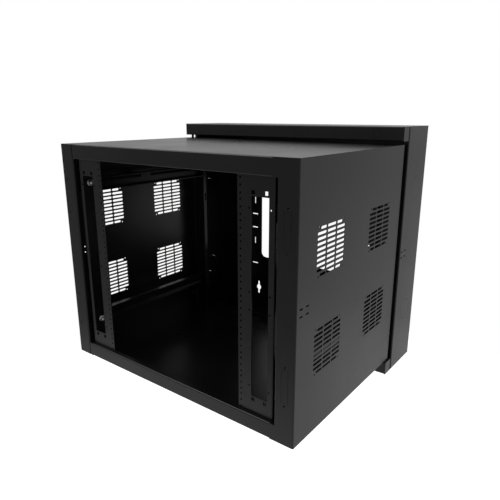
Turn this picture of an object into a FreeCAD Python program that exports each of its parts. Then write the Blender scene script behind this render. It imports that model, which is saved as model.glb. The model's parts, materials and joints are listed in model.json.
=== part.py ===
import FreeCAD, Part
import os
import re
import Sketcher

# Twelve-unit swing-out wall rack: a sheet-steel back pan that stays on the wall, and a
# deep centre section that carries two 19-inch rack rails and swings out on two pivot rods.
# X runs across the rack, -Y points out of the wall, Z is up. The origin is on the wall
# plane, at the middle of the four keyholes. Heights in the sketches are counted from the
# pan's bottom edge, and each part's own placement lowers it by pan_middle to the origin.
# All sizes in millimetres.

doc = FreeCAD.newDocument("swing_rack")
sizes = doc.addObject("Spreadsheet::Sheet", "sizes")

# Driving dimensions: alias, value, meaning.
DRIVING = [
    ("sheet", 1.9, "14 gauge steel of the pan and of the centre section"),
    ("rail_sheet", 2.7, "12 gauge steel of the rack rails and of the rail brackets"),
    ("bend", 1.2, "inside radius of the folds"),
    ("pan_width", 768, "back pan, across"),
    ("pan_height", 697, "back pan, top to bottom"),
    ("pan_side_depth", 142, "back pan side walls, from the wall"),
    ("pan_lip", 12, "inward fold along the front of each pan side wall"),
    ("bar_depth", 183, "front face of the top and bottom bars, from the wall"),
    ("bar_height", 37, "front face of each bar"),
    ("bar_return", 32, "inward fold of each bar"),
    ("bar_end", 33, "depth of the plate that closes each bar's end"),
    ("pan_hem", 20, "fold of the pan's top and bottom panel along the wall"),
    ("swing_side_gap", 5, "pan stands out past the centre section, each side"),
    ("swing_head_gap", 9, "gap between the centre section and the top bar"),
    ("swing_depth", 512, "centre section, front to back"),
    ("bar_cover", 25, "the bars reach forwards over the back of the centre section"),
    ("swing_lift", 4, "gap under the centre section, filled by the thrust washers"),
    ("stile_width", 49.5, "front fold of each side panel"),
    ("stile_lip", 12, "rearward fold behind each stile"),
    ("rear_flange", 61, "rear fold of each side panel"),
    ("rear_lip", 16, "forward fold of the rear flange"),
    ("rail_step", 0.2, "top and bottom rails sit back behind the stiles"),
    ("seam", 1, "gap between the left stile and a top or bottom rail"),
    ("ledge", 15, "inward fold of the top and bottom rails"),
    ("rear_hem", 24, "fold of the top and bottom panels at the back"),
    ("unit_count", 12, "rack units"),
    ("unit_pitch", 44.45, "height of one rack unit"),
    ("unit_edge", 6.35, "from the unit's edge to its first hole"),
    ("unit_step", 15.875, "between the holes of one unit"),
    ("rack_hole_gap", 465.1, "left to right between the rack holes"),
    ("rack_hole_size", 4.8, "tapped rack hole, across"),
    ("rack_opening", 450, "clear width between the rails"),
    ("rail_outer", 638, "over the outer faces of the two rails"),
    ("rail_setback", 9.5, "rails stand back from the front face"),
    ("rail_return", 50, "rearward fold of each rail"),
    ("rail_clearance", 0.4, "above and below each rail"),
    ("window_inset", 36, "rail's inner edge to its window"),
    ("window_width", 43.4, "rail window, across"),
    ("window_height", 448, "rail window, top to bottom"),
    ("square_hole", 8.6, "square holes above and below the window"),
    ("square_gap", 32, "between the two square holes"),
    ("square_inset", 40.5, "rail's inner edge to the first square hole's middle"),
    ("square_rise", 464, "between the upper and lower square holes"),
    ("cord_hole", 4.5, "small round holes beside the window"),
    ("cord_gap", 53.2, "across between the small round holes"),
    ("cord_inset", 30.4, "rail's inner edge to the first small round hole"),
    ("cord_near", 40, "height between the middle small holes"),
    ("cord_far", 399.4, "height between the outer small holes"),
    ("bracket_height", 37, "rail bracket, top to bottom"),
    ("bracket_depth", 20, "fold of the rail bracket"),
    ("bracket_tab", 9, "foot at each end of the rail bracket"),
    ("bracket_rise", 386.8, "between the middles of the upper and lower brackets"),
    ("bolt_rise", 402, "between the upper and lower rail bolts"),
    ("bolt_setback", 39, "front face of the centre section to the rail bolts"),
    ("bolt_size", 8, "rail bolt shank"),
    ("bolt_clearance", 0.5, "slot wider than the rail bolt"),
    ("bolt_head", 17, "rail bolt's round head, across"),
    ("bolt_head_height", 4.2, "rail bolt's round head"),
    ("nut_flats", 13, "rail nut across flats"),
    ("nut_height", 6.5, "rail nut"),
    ("bolt_reach", 5, "thread that stands out of the rail nut"),
    ("slot_length", 210, "each long slot of a rail bracket"),
    ("slot_bridge", 38, "steel between the two long slots"),
    ("vent_columns", 3, "slots side by side in a vent group"),
    ("vent_rows", 10, "slot rows in a vent group"),
    ("vent_slot", 37.4, "length of a vent slot"),
    ("vent_slot_height", 6.4, "height of a vent slot"),
    ("vent_pitch_across", 40.8, "between slot columns"),
    ("vent_pitch_up", 11.06, "between slot rows"),
    ("vent_corner_cut", 13, "corner slots are shorter by this"),
    ("vent_rise", 223.4, "between the lower and the upper vent groups"),
    ("vent_run", 246, "between the front and the rear vent groups"),
    ("fan_hole", 4.5, "fan screw holes at the corners of a vent group"),
    ("fan_square", 105, "fan screw spacing"),
    ("lacing_slot", 11.5, "short slots, in sets of four"),
    ("lacing_slot_height", 4, "short slots, height"),
    ("lacing_run", 24.4, "short slots, spacing front to back"),
    ("lacing_rise", 16.4, "short slots, spacing up"),
    ("lacing_inset", 29.5, "front face to the middle of the short slots"),
    ("pan_lacing_inset", 118, "wall to the middle of the pan's short slots"),
    ("relief_slit", 0.8, "width of the slits cut across the rear fold"),
    ("relief_length", 14, "length of the slits along the side"),
    ("relief_reach", 14, "length of the slits across the rear flange"),
    ("tab_height", 16, "steel between two slits at a pivot rod"),
    ("tab_rise", 450, "between the upper and lower tabs"),
    ("tab_middle", 37, "steel between the two slits at mid height"),
    ("rear_slot", 28, "lacing slots in the rear lip"),
    ("rear_slot_width", 6, "lacing slots in the rear lip"),
    ("rear_slot_rise", 205, "between the lacing slots in the rear lip"),
    ("stile_cutout", 17, "door hardware cut-out in the right stile"),
    ("stile_cutout_height", 77, "door hardware cut-out, height"),
    ("stile_cutout_inset", 24.5, "outer edge to the middle of the cut-out"),
    ("stile_cutout_rise", 331, "between the upper and the lower cut-outs"),
    ("stile_hole", 4.5, "screw holes in the stiles"),
    ("stile_hole_rise", 89.8, "between the screw holes of one cut-out"),
    ("left_hole_inset", 16.5, "outer edge to the screw holes of the left stile"),
    ("knockout_gap", 0.5, "score line round a knock-out"),
    ("side_knockout", 62.5, "two-inch trade size knock-outs in the pan's side walls"),
    ("side_knockout_inset", 67.5, "wall to the middle of these"),
    ("side_knockout_rise", 359.5, "between these"),
    ("bar_knockout", 22.2, "half-inch trade size knock-outs in the bars"),
    ("bar_knockout_gap", 623, "across between these"),
    ("opening_width", 383.4, "cable opening in the back wall"),
    ("opening_height", 269.6, "cable opening, top to bottom"),
    ("opening_corner", 18, "cable opening, corner radius"),
    ("slit_length", 24, "cable tie slits in the back wall"),
    ("slit_width", 4, "cable tie slits, width"),
    ("slit_inset", 221, "centreline to the cable tie slits"),
    ("slit_step", 50.5, "between the middle cable tie slits"),
    ("slit_upright_step", 151, "between the upright cable tie slits"),
    ("slit_outer_step", 326, "between the outer cable tie slits"),
    ("keyhole_gap", 406.4, "sixteen inches: the wall studs"),
    ("keyhole_rise", 516, "between the upper and the lower keyholes"),
    ("keyhole_size", 19.6, "keyhole's round part"),
    ("keyhole_slot", 7.3, "keyhole's slot, width"),
    ("keyhole_length", 49, "keyhole's slot, end to end"),
    ("rod_size", 8, "pivot and latch rods"),
    ("rod_inset", 13, "rods, from the side and from the rear of the centre section"),
    ("rod_length", 98, "each rod"),
    ("rod_throw", 18, "travel of a rod"),
    ("rod_back", 1, "a withdrawn rod's tip below the panel's outer face"),
    ("rod_clearance", 0.08, "all round a rod in its bush"),
    ("guide_clearance", 0.4, "all round a rod in its guide"),
    ("bush_wall", 2.5, "nylon bush round a rod"),
    ("bush_flange", 2.5, "nylon bush's flange, height and overhang"),
    ("washer_size", 24, "thrust washer, across"),
    ("guide_sheet", 2.5, "steel of a rod guide"),
    ("guide_width", 24, "rod guide, across"),
    ("guide_shift", 3, "rod guide's middle, inwards from the rod"),
    ("guide_depth", 21, "how far a rod guide stands out"),
    ("guide_start", 31, "panel's outer face to a rod guide's first ear"),
    ("guide_length", 48, "rod guide, over its ears"),
    ("knob_size", 8, "finger knob, across"),
    ("knob_length", 26, "finger knob, from the rod's axis"),
    ("stud_size", 6, "ground stud in the back pan"),
    ("stud_length", 20, "ground stud"),
    ("stud_inset", 60, "ground stud, from the pan's right side"),
    ("stud_height", 70, "ground stud, above the pan's bottom"),
    ("stud_nut", 10, "ground nut across flats"),
    ("stud_nut_height", 5, "ground nut"),
]

# Places worked out from the driving dimensions.
DERIVED = [
    ("pan_half", "pan_width / 2"),
    ("pan_middle", "pan_height / 2"),
    ("swing_width", "pan_width - 2 * swing_side_gap"),
    ("swing_half", "swing_width / 2"),
    ("swing_height", "pan_height - 2 * bar_height - swing_lift - swing_head_gap"),
    ("swing_back", "bar_depth - bar_cover"),
    ("total_depth", "swing_back + swing_depth"),
    ("swing_floor", "bar_height + swing_lift"),
    ("swing_top", "swing_floor + swing_height"),
    ("swing_middle", "swing_floor + swing_height / 2"),
    ("panel_half", "swing_half - stile_width - seam"),
    ("corner_reach", "bend + sheet + seam"),
    ("rack_height", "unit_count * unit_pitch"),
    ("rack_bottom", "swing_middle - rack_height / 2"),
    ("front_rail", "(swing_height - rack_height) / 2"),
    ("rail_front", "total_depth - rail_setback"),
    ("rail_half", "rail_outer / 2"),
    ("rail_inner", "rack_opening / 2"),
    ("bracket_web", "rail_half + bracket_depth"),
    ("bracket_front", "rail_front - rail_sheet - 2"),
    ("bracket_back", "swing_back + rear_lip + 0.5"),
    ("bracket_run", "bracket_front - bracket_back"),
    ("rear_lip_half", "swing_half - rear_flange"),
    ("vent_middle", "swing_back + swing_depth / 2"),
    ("rod_across", "swing_half - rod_inset"),
    ("rod_out", "swing_back + rod_inset"),
    ("bush_size", "rod_size + 2 * rod_clearance + 2 * bush_wall"),
]

aliases = [row[0] for row in DRIVING] + [row[0] for row in DERIVED]


def bound(expression):
    """The expression with every size's name pointing at the spreadsheet."""
    def qualify(match):
        word = match.group(0)
        return "sizes." + word if word in aliases else word
    return re.sub(r"[a-z][a-z_]+", qualify, str(expression))


def value(expression):
    """The number that an expression of sizes has now."""
    return float(sizes.evalExpression(str(expression)))


for line, (alias, number, meaning) in enumerate(DRIVING, start=1):
    sizes.set("A%d" % line, meaning)
    sizes.set("B%d" % line, str(number))
    sizes.setAlias("B%d" % line, alias)
for line, (alias, formula) in enumerate(DERIVED, start=len(DRIVING) + 1):
    sizes.set("B%d" % line, "=" + formula)
    sizes.setAlias("B%d" % line, alias)
doc.recompute()

nodes = []

# ---------------------------------------------------------------- sheet-metal helpers


def new_body(name):
    """A PartDesign body whose label is the node's name."""
    body = doc.addObject("PartDesign::Body", name)
    body.Label = name
    body.setExpression("Placement.Base.z", bound("-pan_middle"))
    nodes.append(body)
    return body


def new_sketch(body, name, plane, offset="0"):
    """A sketch parallel to one of the body's own origin planes."""
    sketch = body.newObject("Sketcher::SketchObject", body.Name + "_" + name)
    for feature in body.Origin.OriginFeatures:
        if feature.Role == plane:
            sketch.AttachmentSupport = [(feature, "")]
    sketch.MapMode = "FlatFace"
    sketch.setExpression("AttachmentOffset.Base.z", bound(offset))
    return sketch


def place_point(sketch, geometry, point, across, up):
    """Fix one point of the sketch at a pair of expressions."""
    for kind, expression in (("DistanceX", across), ("DistanceY", up)):
        index = sketch.addConstraint(
            Sketcher.Constraint(kind, -1, 1, geometry, point, value(expression)))
        sketch.setExpression("Constraints[%d]" % index, bound(expression))


def draw_outline(sketch, corners):
    """A closed polygon through pairs of expressions."""
    points = [FreeCAD.Vector(value(u), value(v), 0) for u, v in corners]
    count = len(points)
    first = sketch.GeometryCount
    for i in range(count):
        sketch.addGeometry(Part.LineSegment(points[i], points[(i + 1) % count]), False)
    for i in range(count):
        after = first + (i + 1) % count
        sketch.addConstraint(Sketcher.Constraint("Coincident", first + i, 2, after, 1))
    for i, (u, v) in enumerate(corners):
        place_point(sketch, first + i, 1, u, v)


def draw_rectangle(sketch, across, up, width, height):
    """A rectangle about a middle point."""
    left, right = "(%s) - (%s) / 2" % (across, width), "(%s) + (%s) / 2" % (across, width)
    low, high = "(%s) - (%s) / 2" % (up, height), "(%s) + (%s) / 2" % (up, height)
    draw_outline(sketch, [(left, low), (right, low), (right, high), (left, high)])


def draw_circle(sketch, across, up, diameter):
    """A circle at a pair of expressions."""
    centre = FreeCAD.Vector(value(across), value(up), 0)
    circle = Part.Circle(centre, FreeCAD.Vector(0, 0, 1), value(diameter) / 2)
    geometry = sketch.addGeometry(circle, False)
    index = sketch.addConstraint(
        Sketcher.Constraint("Radius", geometry, value(diameter) / 2))
    sketch.setExpression("Constraints[%d]" % index, bound("(%s) / 2" % diameter))
    place_point(sketch, geometry, 3, across, up)


def draw_slot(sketch, across, up, length, height, upright=False):
    """A slot with round ends about a middle point, level or upright."""
    u, v = value(across), value(up)
    radius = value(height) / 2
    reach = value(length) / 2 - radius
    along = FreeCAD.Vector(0, 1, 0) if upright else FreeCAD.Vector(1, 0, 0)
    aside = FreeCAD.Vector(-along.y, along.x, 0)
    middle = FreeCAD.Vector(u, v, 0)
    far, near = middle + along * reach, middle - along * reach
    first = sketch.GeometryCount
    sketch.addGeometry(Part.LineSegment(near - aside * radius, far - aside * radius), False)
    sketch.addGeometry(Part.Arc(far - aside * radius, far + along * radius,
                                far + aside * radius), False)
    sketch.addGeometry(Part.LineSegment(far + aside * radius, near + aside * radius), False)
    sketch.addGeometry(Part.Arc(near + aside * radius, near - along * radius,
                                near - aside * radius), False)
    for i in range(4):
        after = first + (i + 1) % 4
        sketch.addConstraint(Sketcher.Constraint("Tangent", first + i, 2, after, 1))
    index = sketch.addConstraint(Sketcher.Constraint("Radius", first + 1, radius))
    sketch.setExpression("Constraints[%d]" % index, bound("(%s) / 2" % height))
    shift = "((%s) - (%s)) / 2" % (length, height)
    if upright:
        place_point(sketch, first + 1, 3, across, "(%s) + %s" % (up, shift))
        place_point(sketch, first + 3, 3, across, "(%s) - %s" % (up, shift))
    else:
        place_point(sketch, first + 1, 3, "(%s) + %s" % (across, shift), up)
        place_point(sketch, first + 3, 3, "(%s) - %s" % (across, shift), up)


def draw_vent_slot(sketch, across, up, length, height):
    """A level slot whose round ends are three flats each, for slots repeated by the hundred."""
    side, shoulder = "(%s) / 2" % height, "(%s) / 4" % height
    end = "(%s) / 2" % length
    start = "(%s) / 2 - (%s) * 0.4" % (length, height)
    quarter = [(end, shoulder), (start, side)]
    turns = [(1, -1, 0), (1, 1, 0), (1, 1, 1), (-1, 1, 1), (-1, 1, 0), (-1, -1, 0),
             (-1, -1, 1), (1, -1, 1)]
    corners = []
    for right, top, which in turns:
        out, rise = quarter[which]
        corners.append(("(%s) + %d * (%s)" % (across, right, out),
                        "(%s) + %d * (%s)" % (up, top, rise)))
    draw_outline(sketch, corners)


def pad(body, name, sketch, length, both_ways=False, backwards=False):
    """Extrude a sketch of the body along its normal."""
    feature = body.newObject("PartDesign::Pad", body.Name + "_" + name)
    feature.Profile = sketch
    feature.setExpression("Length", bound(length))
    feature.SideType = "Symmetric" if both_ways else "One side"
    feature.Reversed = backwards
    doc.recompute()
    return feature


def cut(body, name, sketch, depth=None):
    """Cut a sketch through everything, or for a depth about its own plane."""
    before = body.Shape.Volume
    feature = body.newObject("PartDesign::Pocket", body.Name + "_" + name)
    feature.Profile = sketch
    feature.SideType = "Symmetric"
    if depth is None:
        feature.Type = "ThroughAll"
    else:
        feature.setExpression("Length", bound(depth))
    feature.Refine = False
    doc.recompute()
    if not body.Shape.Volume < before - 1e-6:
        raise RuntimeError(feature.Name + " cuts nothing")
    return feature


def repeat(body, feature, sketch, across=None, up=None):
    """A row or a grid of a feature: (count, pitch) along the sketch's own axes."""
    rows = []
    for axis, run in (("H_Axis", across), ("V_Axis", up)):
        if run is None:
            continue
        row = body.newObject("PartDesign::LinearPattern", feature.Name + "_" + axis[0])
        row.Direction = (sketch, [axis])
        row.Mode = "Spacing"
        row.setExpression("Occurrences", bound(run[0]))
        row.setExpression("Offset", bound(run[1]))
        rows.append(row)
    pattern = body.newObject("PartDesign::MultiTransform", feature.Name + "_pattern")
    pattern.Originals = [feature]
    pattern.Transformations = rows
    pattern.Refine = False
    body.Tip = pattern
    doc.recompute()
    return pattern


def round_folds(body, feature, axis, folds, radius):
    """Round the edges that run along an axis through the listed corner points."""
    spots = [(value(u), value(v)) for u, v in folds]
    names = []
    for number, edge in enumerate(feature.Shape.Edges, start=1):
        start, end = edge.Vertexes[0].Point, edge.Vertexes[-1].Point
        run = end - start
        if abs(getattr(run, axis)) < 0.9 * run.Length or run.Length < 1:
            continue
        flat = [getattr(start, other) for other in "xyz" if other != axis]
        if any(abs(flat[0] - u) < 0.01 and abs(flat[1] - v) < 0.01 for u, v in spots):
            names.append("Edge%d" % number)
    fillet = body.newObject("PartDesign::Fillet", feature.Name + "_folds")
    fillet.Base = (feature, names)
    fillet.setExpression("Radius", bound(radius))
    doc.recompute()
    return fillet


# ---------------------------------------------------------------- turned and small parts

heights = {}


def primitive(kind, name, places, **lengths):
    """A Part primitive whose sizes and place follow the sheet."""
    solid = doc.addObject(kind, name)
    for prop, expression in lengths.items():
        solid.setExpression(prop, bound(expression))
    for letter, expression in zip("xyz", places):
        solid.setExpression("Placement.Base." + letter, bound(expression))
    heights[solid.Name] = places[2]
    return solid


def turn(solid, axis, degrees):
    """Turn a solid about an axis through its own origin."""
    solid.Placement.Rotation = FreeCAD.Rotation(axis, degrees)
    return solid


def finish(solid, name):
    """Name a finished solid as a node, and lower it to the origin."""
    solid.Label = name
    height = heights.get(solid.Name, "0")
    solid.setExpression("Placement.Base.z", bound("(%s) - pan_middle" % height))
    nodes.append(solid)
    return solid


def fuse(name, solids):
    """Several touching solids as one."""
    joined = doc.addObject("Part::MultiFuse", name)
    joined.Shapes = solids
    joined.Refine = True
    return joined


def subtract(name, base, tool):
    """One solid less another."""
    result = doc.addObject("Part::Cut", name)
    result.Base = base
    result.Tool = tool
    return result


UP = FreeCAD.Vector(0, 0, 1)
ACROSS = FreeCAD.Vector(0, 1, 0)
SIDES = (("left", -1), ("right", 1))
LEVELS = (("lower", -1), ("upper", 1))


def mirror_points(points, side):
    """The same corners on the left (-1) or the right (1) of the centreline."""
    return [("%d * (%s)" % (side, u), v) for u, v in points]


# ---------------------------------------------------------------- back pan


def make_back_pan():
    """Back wall and both side walls, folded from one sheet, with its cut-outs."""
    body = new_body("back_pan")
    half, lip = "pan_half", "pan_half - pan_lip"
    front, inside = "-pan_side_depth", "-pan_side_depth + sheet"
    outline = [("-" + half, "0"), (half, "0"), (half, front), (lip, front), (lip, inside),
               (half + " - sheet", inside), (half + " - sheet", "-sheet"),
               ("-(pan_half - sheet)", "-sheet"), ("-(pan_half - sheet)", inside),
               ("-(%s)" % lip, inside), ("-(%s)" % lip, front), ("-" + half, front)]
    profile = new_sketch(body, "profile", "XY_Plane", "sheet")
    draw_outline(profile, outline)
    shell = pad(body, "shell", profile, "pan_height - 2 * sheet")
    outer = [outline[i] for i in (0, 1, 2, 11)]
    inner = [outline[i] for i in (5, 6, 7, 8)]
    rounded = round_folds(body, shell, "z", outer, "bend + sheet")
    round_folds(body, rounded, "z", inner, "bend")

    opening = new_sketch(body, "opening", "XZ_Plane")
    draw_rectangle(opening, "0", "pan_middle", "opening_width", "opening_height")
    cut(body, "cable_opening", opening, "4 * sheet")
    corners = [("%d * opening_width / 2" % i, "pan_middle + %d * opening_height / 2" % j)
               for i in (-1, 1) for j in (-1, 1)]
    round_folds(body, body.Tip, "y", corners, "opening_corner")

    slits = new_sketch(body, "slits", "XZ_Plane")
    for level in (-1, 1):
        for step, upright in (("slit_step", False), ("slit_outer_step", False),
                              ("slit_upright_step", True)):
            draw_slot(slits, "-slit_inset", "pan_middle + %d * %s / 2" % (level, step),
                      "slit_length", "slit_width", upright)
    first = cut(body, "cable_tie_slits", slits, "4 * sheet")
    repeat(body, first, slits, across=("2", "2 * slit_inset"))

    for name, draw in (("keyhole_rounds", "round"), ("keyhole_slots", "slot")):
        sketch = new_sketch(body, name, "XZ_Plane")
        for _, side in SIDES:
            for _, level in LEVELS:
                across = "%d * keyhole_gap / 2" % side
                height = "pan_middle + %d * keyhole_rise / 2" % level
                if draw == "round":
                    draw_circle(sketch, across, height, "keyhole_size")
                else:
                    draw_slot(sketch, across, height, "keyhole_length", "keyhole_slot",
                              upright=True)
        cut(body, name, sketch, "4 * sheet")

    walls = new_sketch(body, "side_holes", "YZ_Plane")
    for _, level in LEVELS:
        height = "pan_middle + %d * side_knockout_rise / 2" % level
        draw_circle(walls, "-side_knockout_inset", height, "side_knockout")
        for step in (-1, 1):
            across = "-pan_lacing_inset + %d * lacing_run / 2" % step
            draw_slot(walls, across, "pan_middle + %d * lacing_rise / 2" % level,
                      "lacing_slot", "lacing_slot_height")
    cut(body, "side_wall_holes", walls)
    return body


def make_pan_panel(name, level):
    """Top or bottom panel of the pan, with its bar along the front."""
    body = new_body(name)
    base = "pan_height" if level > 0 else "0"

    def height(expression):
        return "%s - %d * (%s)" % (base, level, expression)

    front, inside = "-bar_depth", "-bar_depth + sheet"
    wall = "-sheet"
    outline = [(wall, height("0")), (front, height("0")), (front, height("bar_height")),
               ("-bar_depth + bar_return", height("bar_height")),
               ("-bar_depth + bar_return", height("bar_height - sheet")),
               (inside, height("bar_height - sheet")), (inside, height("sheet")),
               ("-2 * sheet", height("sheet")), ("-2 * sheet", height("pan_hem")),
               (wall, height("pan_hem"))]
    profile = new_sketch(body, "profile", "YZ_Plane")
    draw_outline(profile, outline)
    inner_width = "pan_width - 2 * sheet"
    shell = pad(body, "shell", profile, inner_width, both_ways=True)
    rounded = round_folds(body, shell, "x", [outline[i] for i in (0, 1, 2)], "bend + sheet")
    round_folds(body, rounded, "x", [outline[i] for i in (5, 6, 7)], "bend")

    reliefs = new_sketch(body, "hem_reliefs", "XZ_Plane", "1.5 * sheet")
    for _, side in SIDES:
        draw_rectangle(reliefs, "%d * (pan_half - sheet - bend / 2)" % side,
                       height("(sheet + pan_hem) / 2"), "bend", "pan_hem - sheet")
    cut(body, "hem_corner_reliefs", reliefs, "1.2 * sheet")

    covers = new_sketch(body, "edges", "XY_Plane", height("sheet / 2"))
    for _, side in SIDES:
        draw_rectangle(covers, "%d * (pan_half - sheet / 2)" % side,
                       "-(bar_depth - bend - sheet) / 2", "sheet", "bar_depth - bend - sheet")
    pad(body, "side_edges", covers, "sheet", both_ways=True)
    for side_name, side in SIDES:
        end = new_sketch(body, "end_" + side_name, "YZ_Plane",
                         "%d * (pan_half - sheet / 2)" % side)
        draw_rectangle(end, "-bar_depth + bar_end / 2", height("bar_height / 2"),
                       "bar_end", "bar_height")
        pad(body, "bar_end_" + side_name, end, "sheet", both_ways=True)

    knockouts = new_sketch(body, "knockout_holes", "XZ_Plane", "bar_depth")
    bushes = new_sketch(body, "bush_holes", "XY_Plane", height("bar_height"))
    for _, side in SIDES:
        draw_circle(knockouts, "%d * bar_knockout_gap / 2" % side, height("bar_height / 2"),
                    "bar_knockout")
        draw_circle(bushes, "%d * rod_across" % side, "-rod_out", "bush_size + 0.2")
    cut(body, "knockout_cuts", knockouts, "4 * sheet")
    cut(body, "bush_cuts", bushes, "4 * sheet")
    return body


def make_knockouts():
    """Punched discs that still sit in the pan's side walls and bars."""
    for level_name, level in LEVELS:
        for side_name, side in SIDES:
            disc = primitive("Part::Cylinder", "side_knockout_%s_%s" % (level_name, side_name),
                             ("%d * pan_half - %s" % (side, "0" if side < 0 else "sheet"),
                              "-side_knockout_inset",
                              "pan_middle + %d * side_knockout_rise / 2" % level),
                             Radius="side_knockout / 2 - knockout_gap", Height="sheet")
            finish(turn(disc, ACROSS, 90), disc.Name)
            bar = "pan_height - bar_height / 2" if level > 0 else "bar_height / 2"
            disc = primitive("Part::Cylinder", "bar_knockout_%s_%s" % (level_name, side_name),
                             ("%d * bar_knockout_gap / 2" % side, "-bar_depth + sheet", bar),
                             Radius="bar_knockout / 2 - knockout_gap", Height="sheet")
            finish(turn(disc, FreeCAD.Vector(1, 0, 0), 90), disc.Name)


def make_bushes():
    """Nylon bushes that the bars hold round the rods."""
    for level_name, level in LEVELS:
        face = "pan_height - bar_height" if level > 0 else "bar_height"
        for side_name, side in SIDES:
            name = "bar_bush_%s_%s" % (level_name, side_name)
            spot = ("%d * rod_across" % side, "-rod_out")
            low = "%s + sheet" % face if level > 0 else "%s - sheet - bush_flange" % face
            base = face if level > 0 else "%s - sheet" % face
            barrel = primitive("Part::Cylinder", name + "_barrel", spot + (base,),
                               Radius="bush_size / 2", Height="sheet")
            flange = primitive("Part::Cylinder", name + "_flange", spot + (low,),
                               Radius="bush_size / 2 + bush_flange", Height="bush_flange")
            bore = primitive("Part::Cylinder", name + "_bore",
                             spot + ("%s - 3 * bush_flange - sheet" % face,),
                             Radius="rod_size / 2 + rod_clearance",
                             Height="6 * bush_flange + 2 * sheet")
            whole = fuse(name + "_whole", [barrel, flange])
            finish(subtract(name, whole, bore), name)


def hexagon(name, flats, height, places):
    """A hexagonal prism, standing on its face."""
    prism = doc.addObject("Part::Prism", name)
    prism.Polygon = 6
    prism.setExpression("Circumradius", bound("(%s) / sqrt(3)" % flats))
    prism.setExpression("Height", bound(height))
    for letter, expression in zip("xyz", places):
        prism.setExpression("Placement.Base." + letter, bound(expression))
    return prism


def make_ground_stud():
    """Welded ground stud in the lower right of the back wall, with its nut."""
    across, height = "pan_half - stud_inset", "stud_height"
    backwards = FreeCAD.Vector(1, 0, 0)
    stud = primitive("Part::Cylinder", "ground_stud", (across, "-sheet", height),
                     Radius="stud_size / 2", Height="stud_length")
    finish(turn(stud, backwards, 90), "ground_stud")
    face = "-sheet - 6"
    nut = hexagon("ground_nut_blank", "stud_nut", "stud_nut_height", (across, face, height))
    turn(nut, backwards, 90)
    hole = primitive("Part::Cylinder", "ground_nut_hole", (across, face, height),
                     Radius="stud_size / 2", Height="stud_nut_height")
    turn(hole, backwards, 90)
    finish(subtract("ground_nut", nut, hole), "ground_nut")


# ---------------------------------------------------------------- centre section


def cut_vents(body, wall):
    """Four vent groups: slot rows with shortened corners and four fan screw holes each."""
    half_run = "(vent_columns - 1) * vent_pitch_across / 2"
    half_rise = "(vent_rows - 1) * vent_pitch_up / 2"
    corner = "%s - vent_corner_cut / 2" % half_run
    ends = ("2", "2 * %s" % half_rise)
    holes = ("2", "fan_square")
    # name, first cut's place in its group, its length, its height, and its pattern
    fields = [("corner_slots", corner, half_rise, "vent_slot - vent_corner_cut",
               "vent_slot_height", ("2", "2 * (%s)" % corner), ends),
              ("end_slots", "0", half_rise, "vent_slot + (vent_columns - 3) * vent_pitch_across",
               "vent_slot_height", None, ends),
              ("fan_holes", "fan_square / 2", "fan_square / 2", None, "fan_hole", holes, holes),
              ("slot_rows", half_run, half_rise + " - vent_pitch_up", "vent_slot",
               "vent_slot_height", ("vent_columns", "vent_pitch_across"),
               ("vent_rows - 2", "vent_pitch_up"))]
    for name, before, below, length, height, across, up in fields:
        sketch = new_sketch(body, name, "YZ_Plane", wall)
        for run in (-1, 1):
            for level in (-1, 1):
                spot = ("-vent_middle + %d * vent_run / 2 - (%s)" % (run, before),
                        "swing_middle + %d * vent_rise / 2 - (%s)" % (level, below))
                if length is None:
                    draw_circle(sketch, spot[0], spot[1], height)
                else:
                    draw_vent_slot(sketch, spot[0], spot[1], length, height)
        first = cut(body, "vent_" + name, sketch, "4 * sheet")
        repeat(body, first, sketch, across, up)


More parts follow.
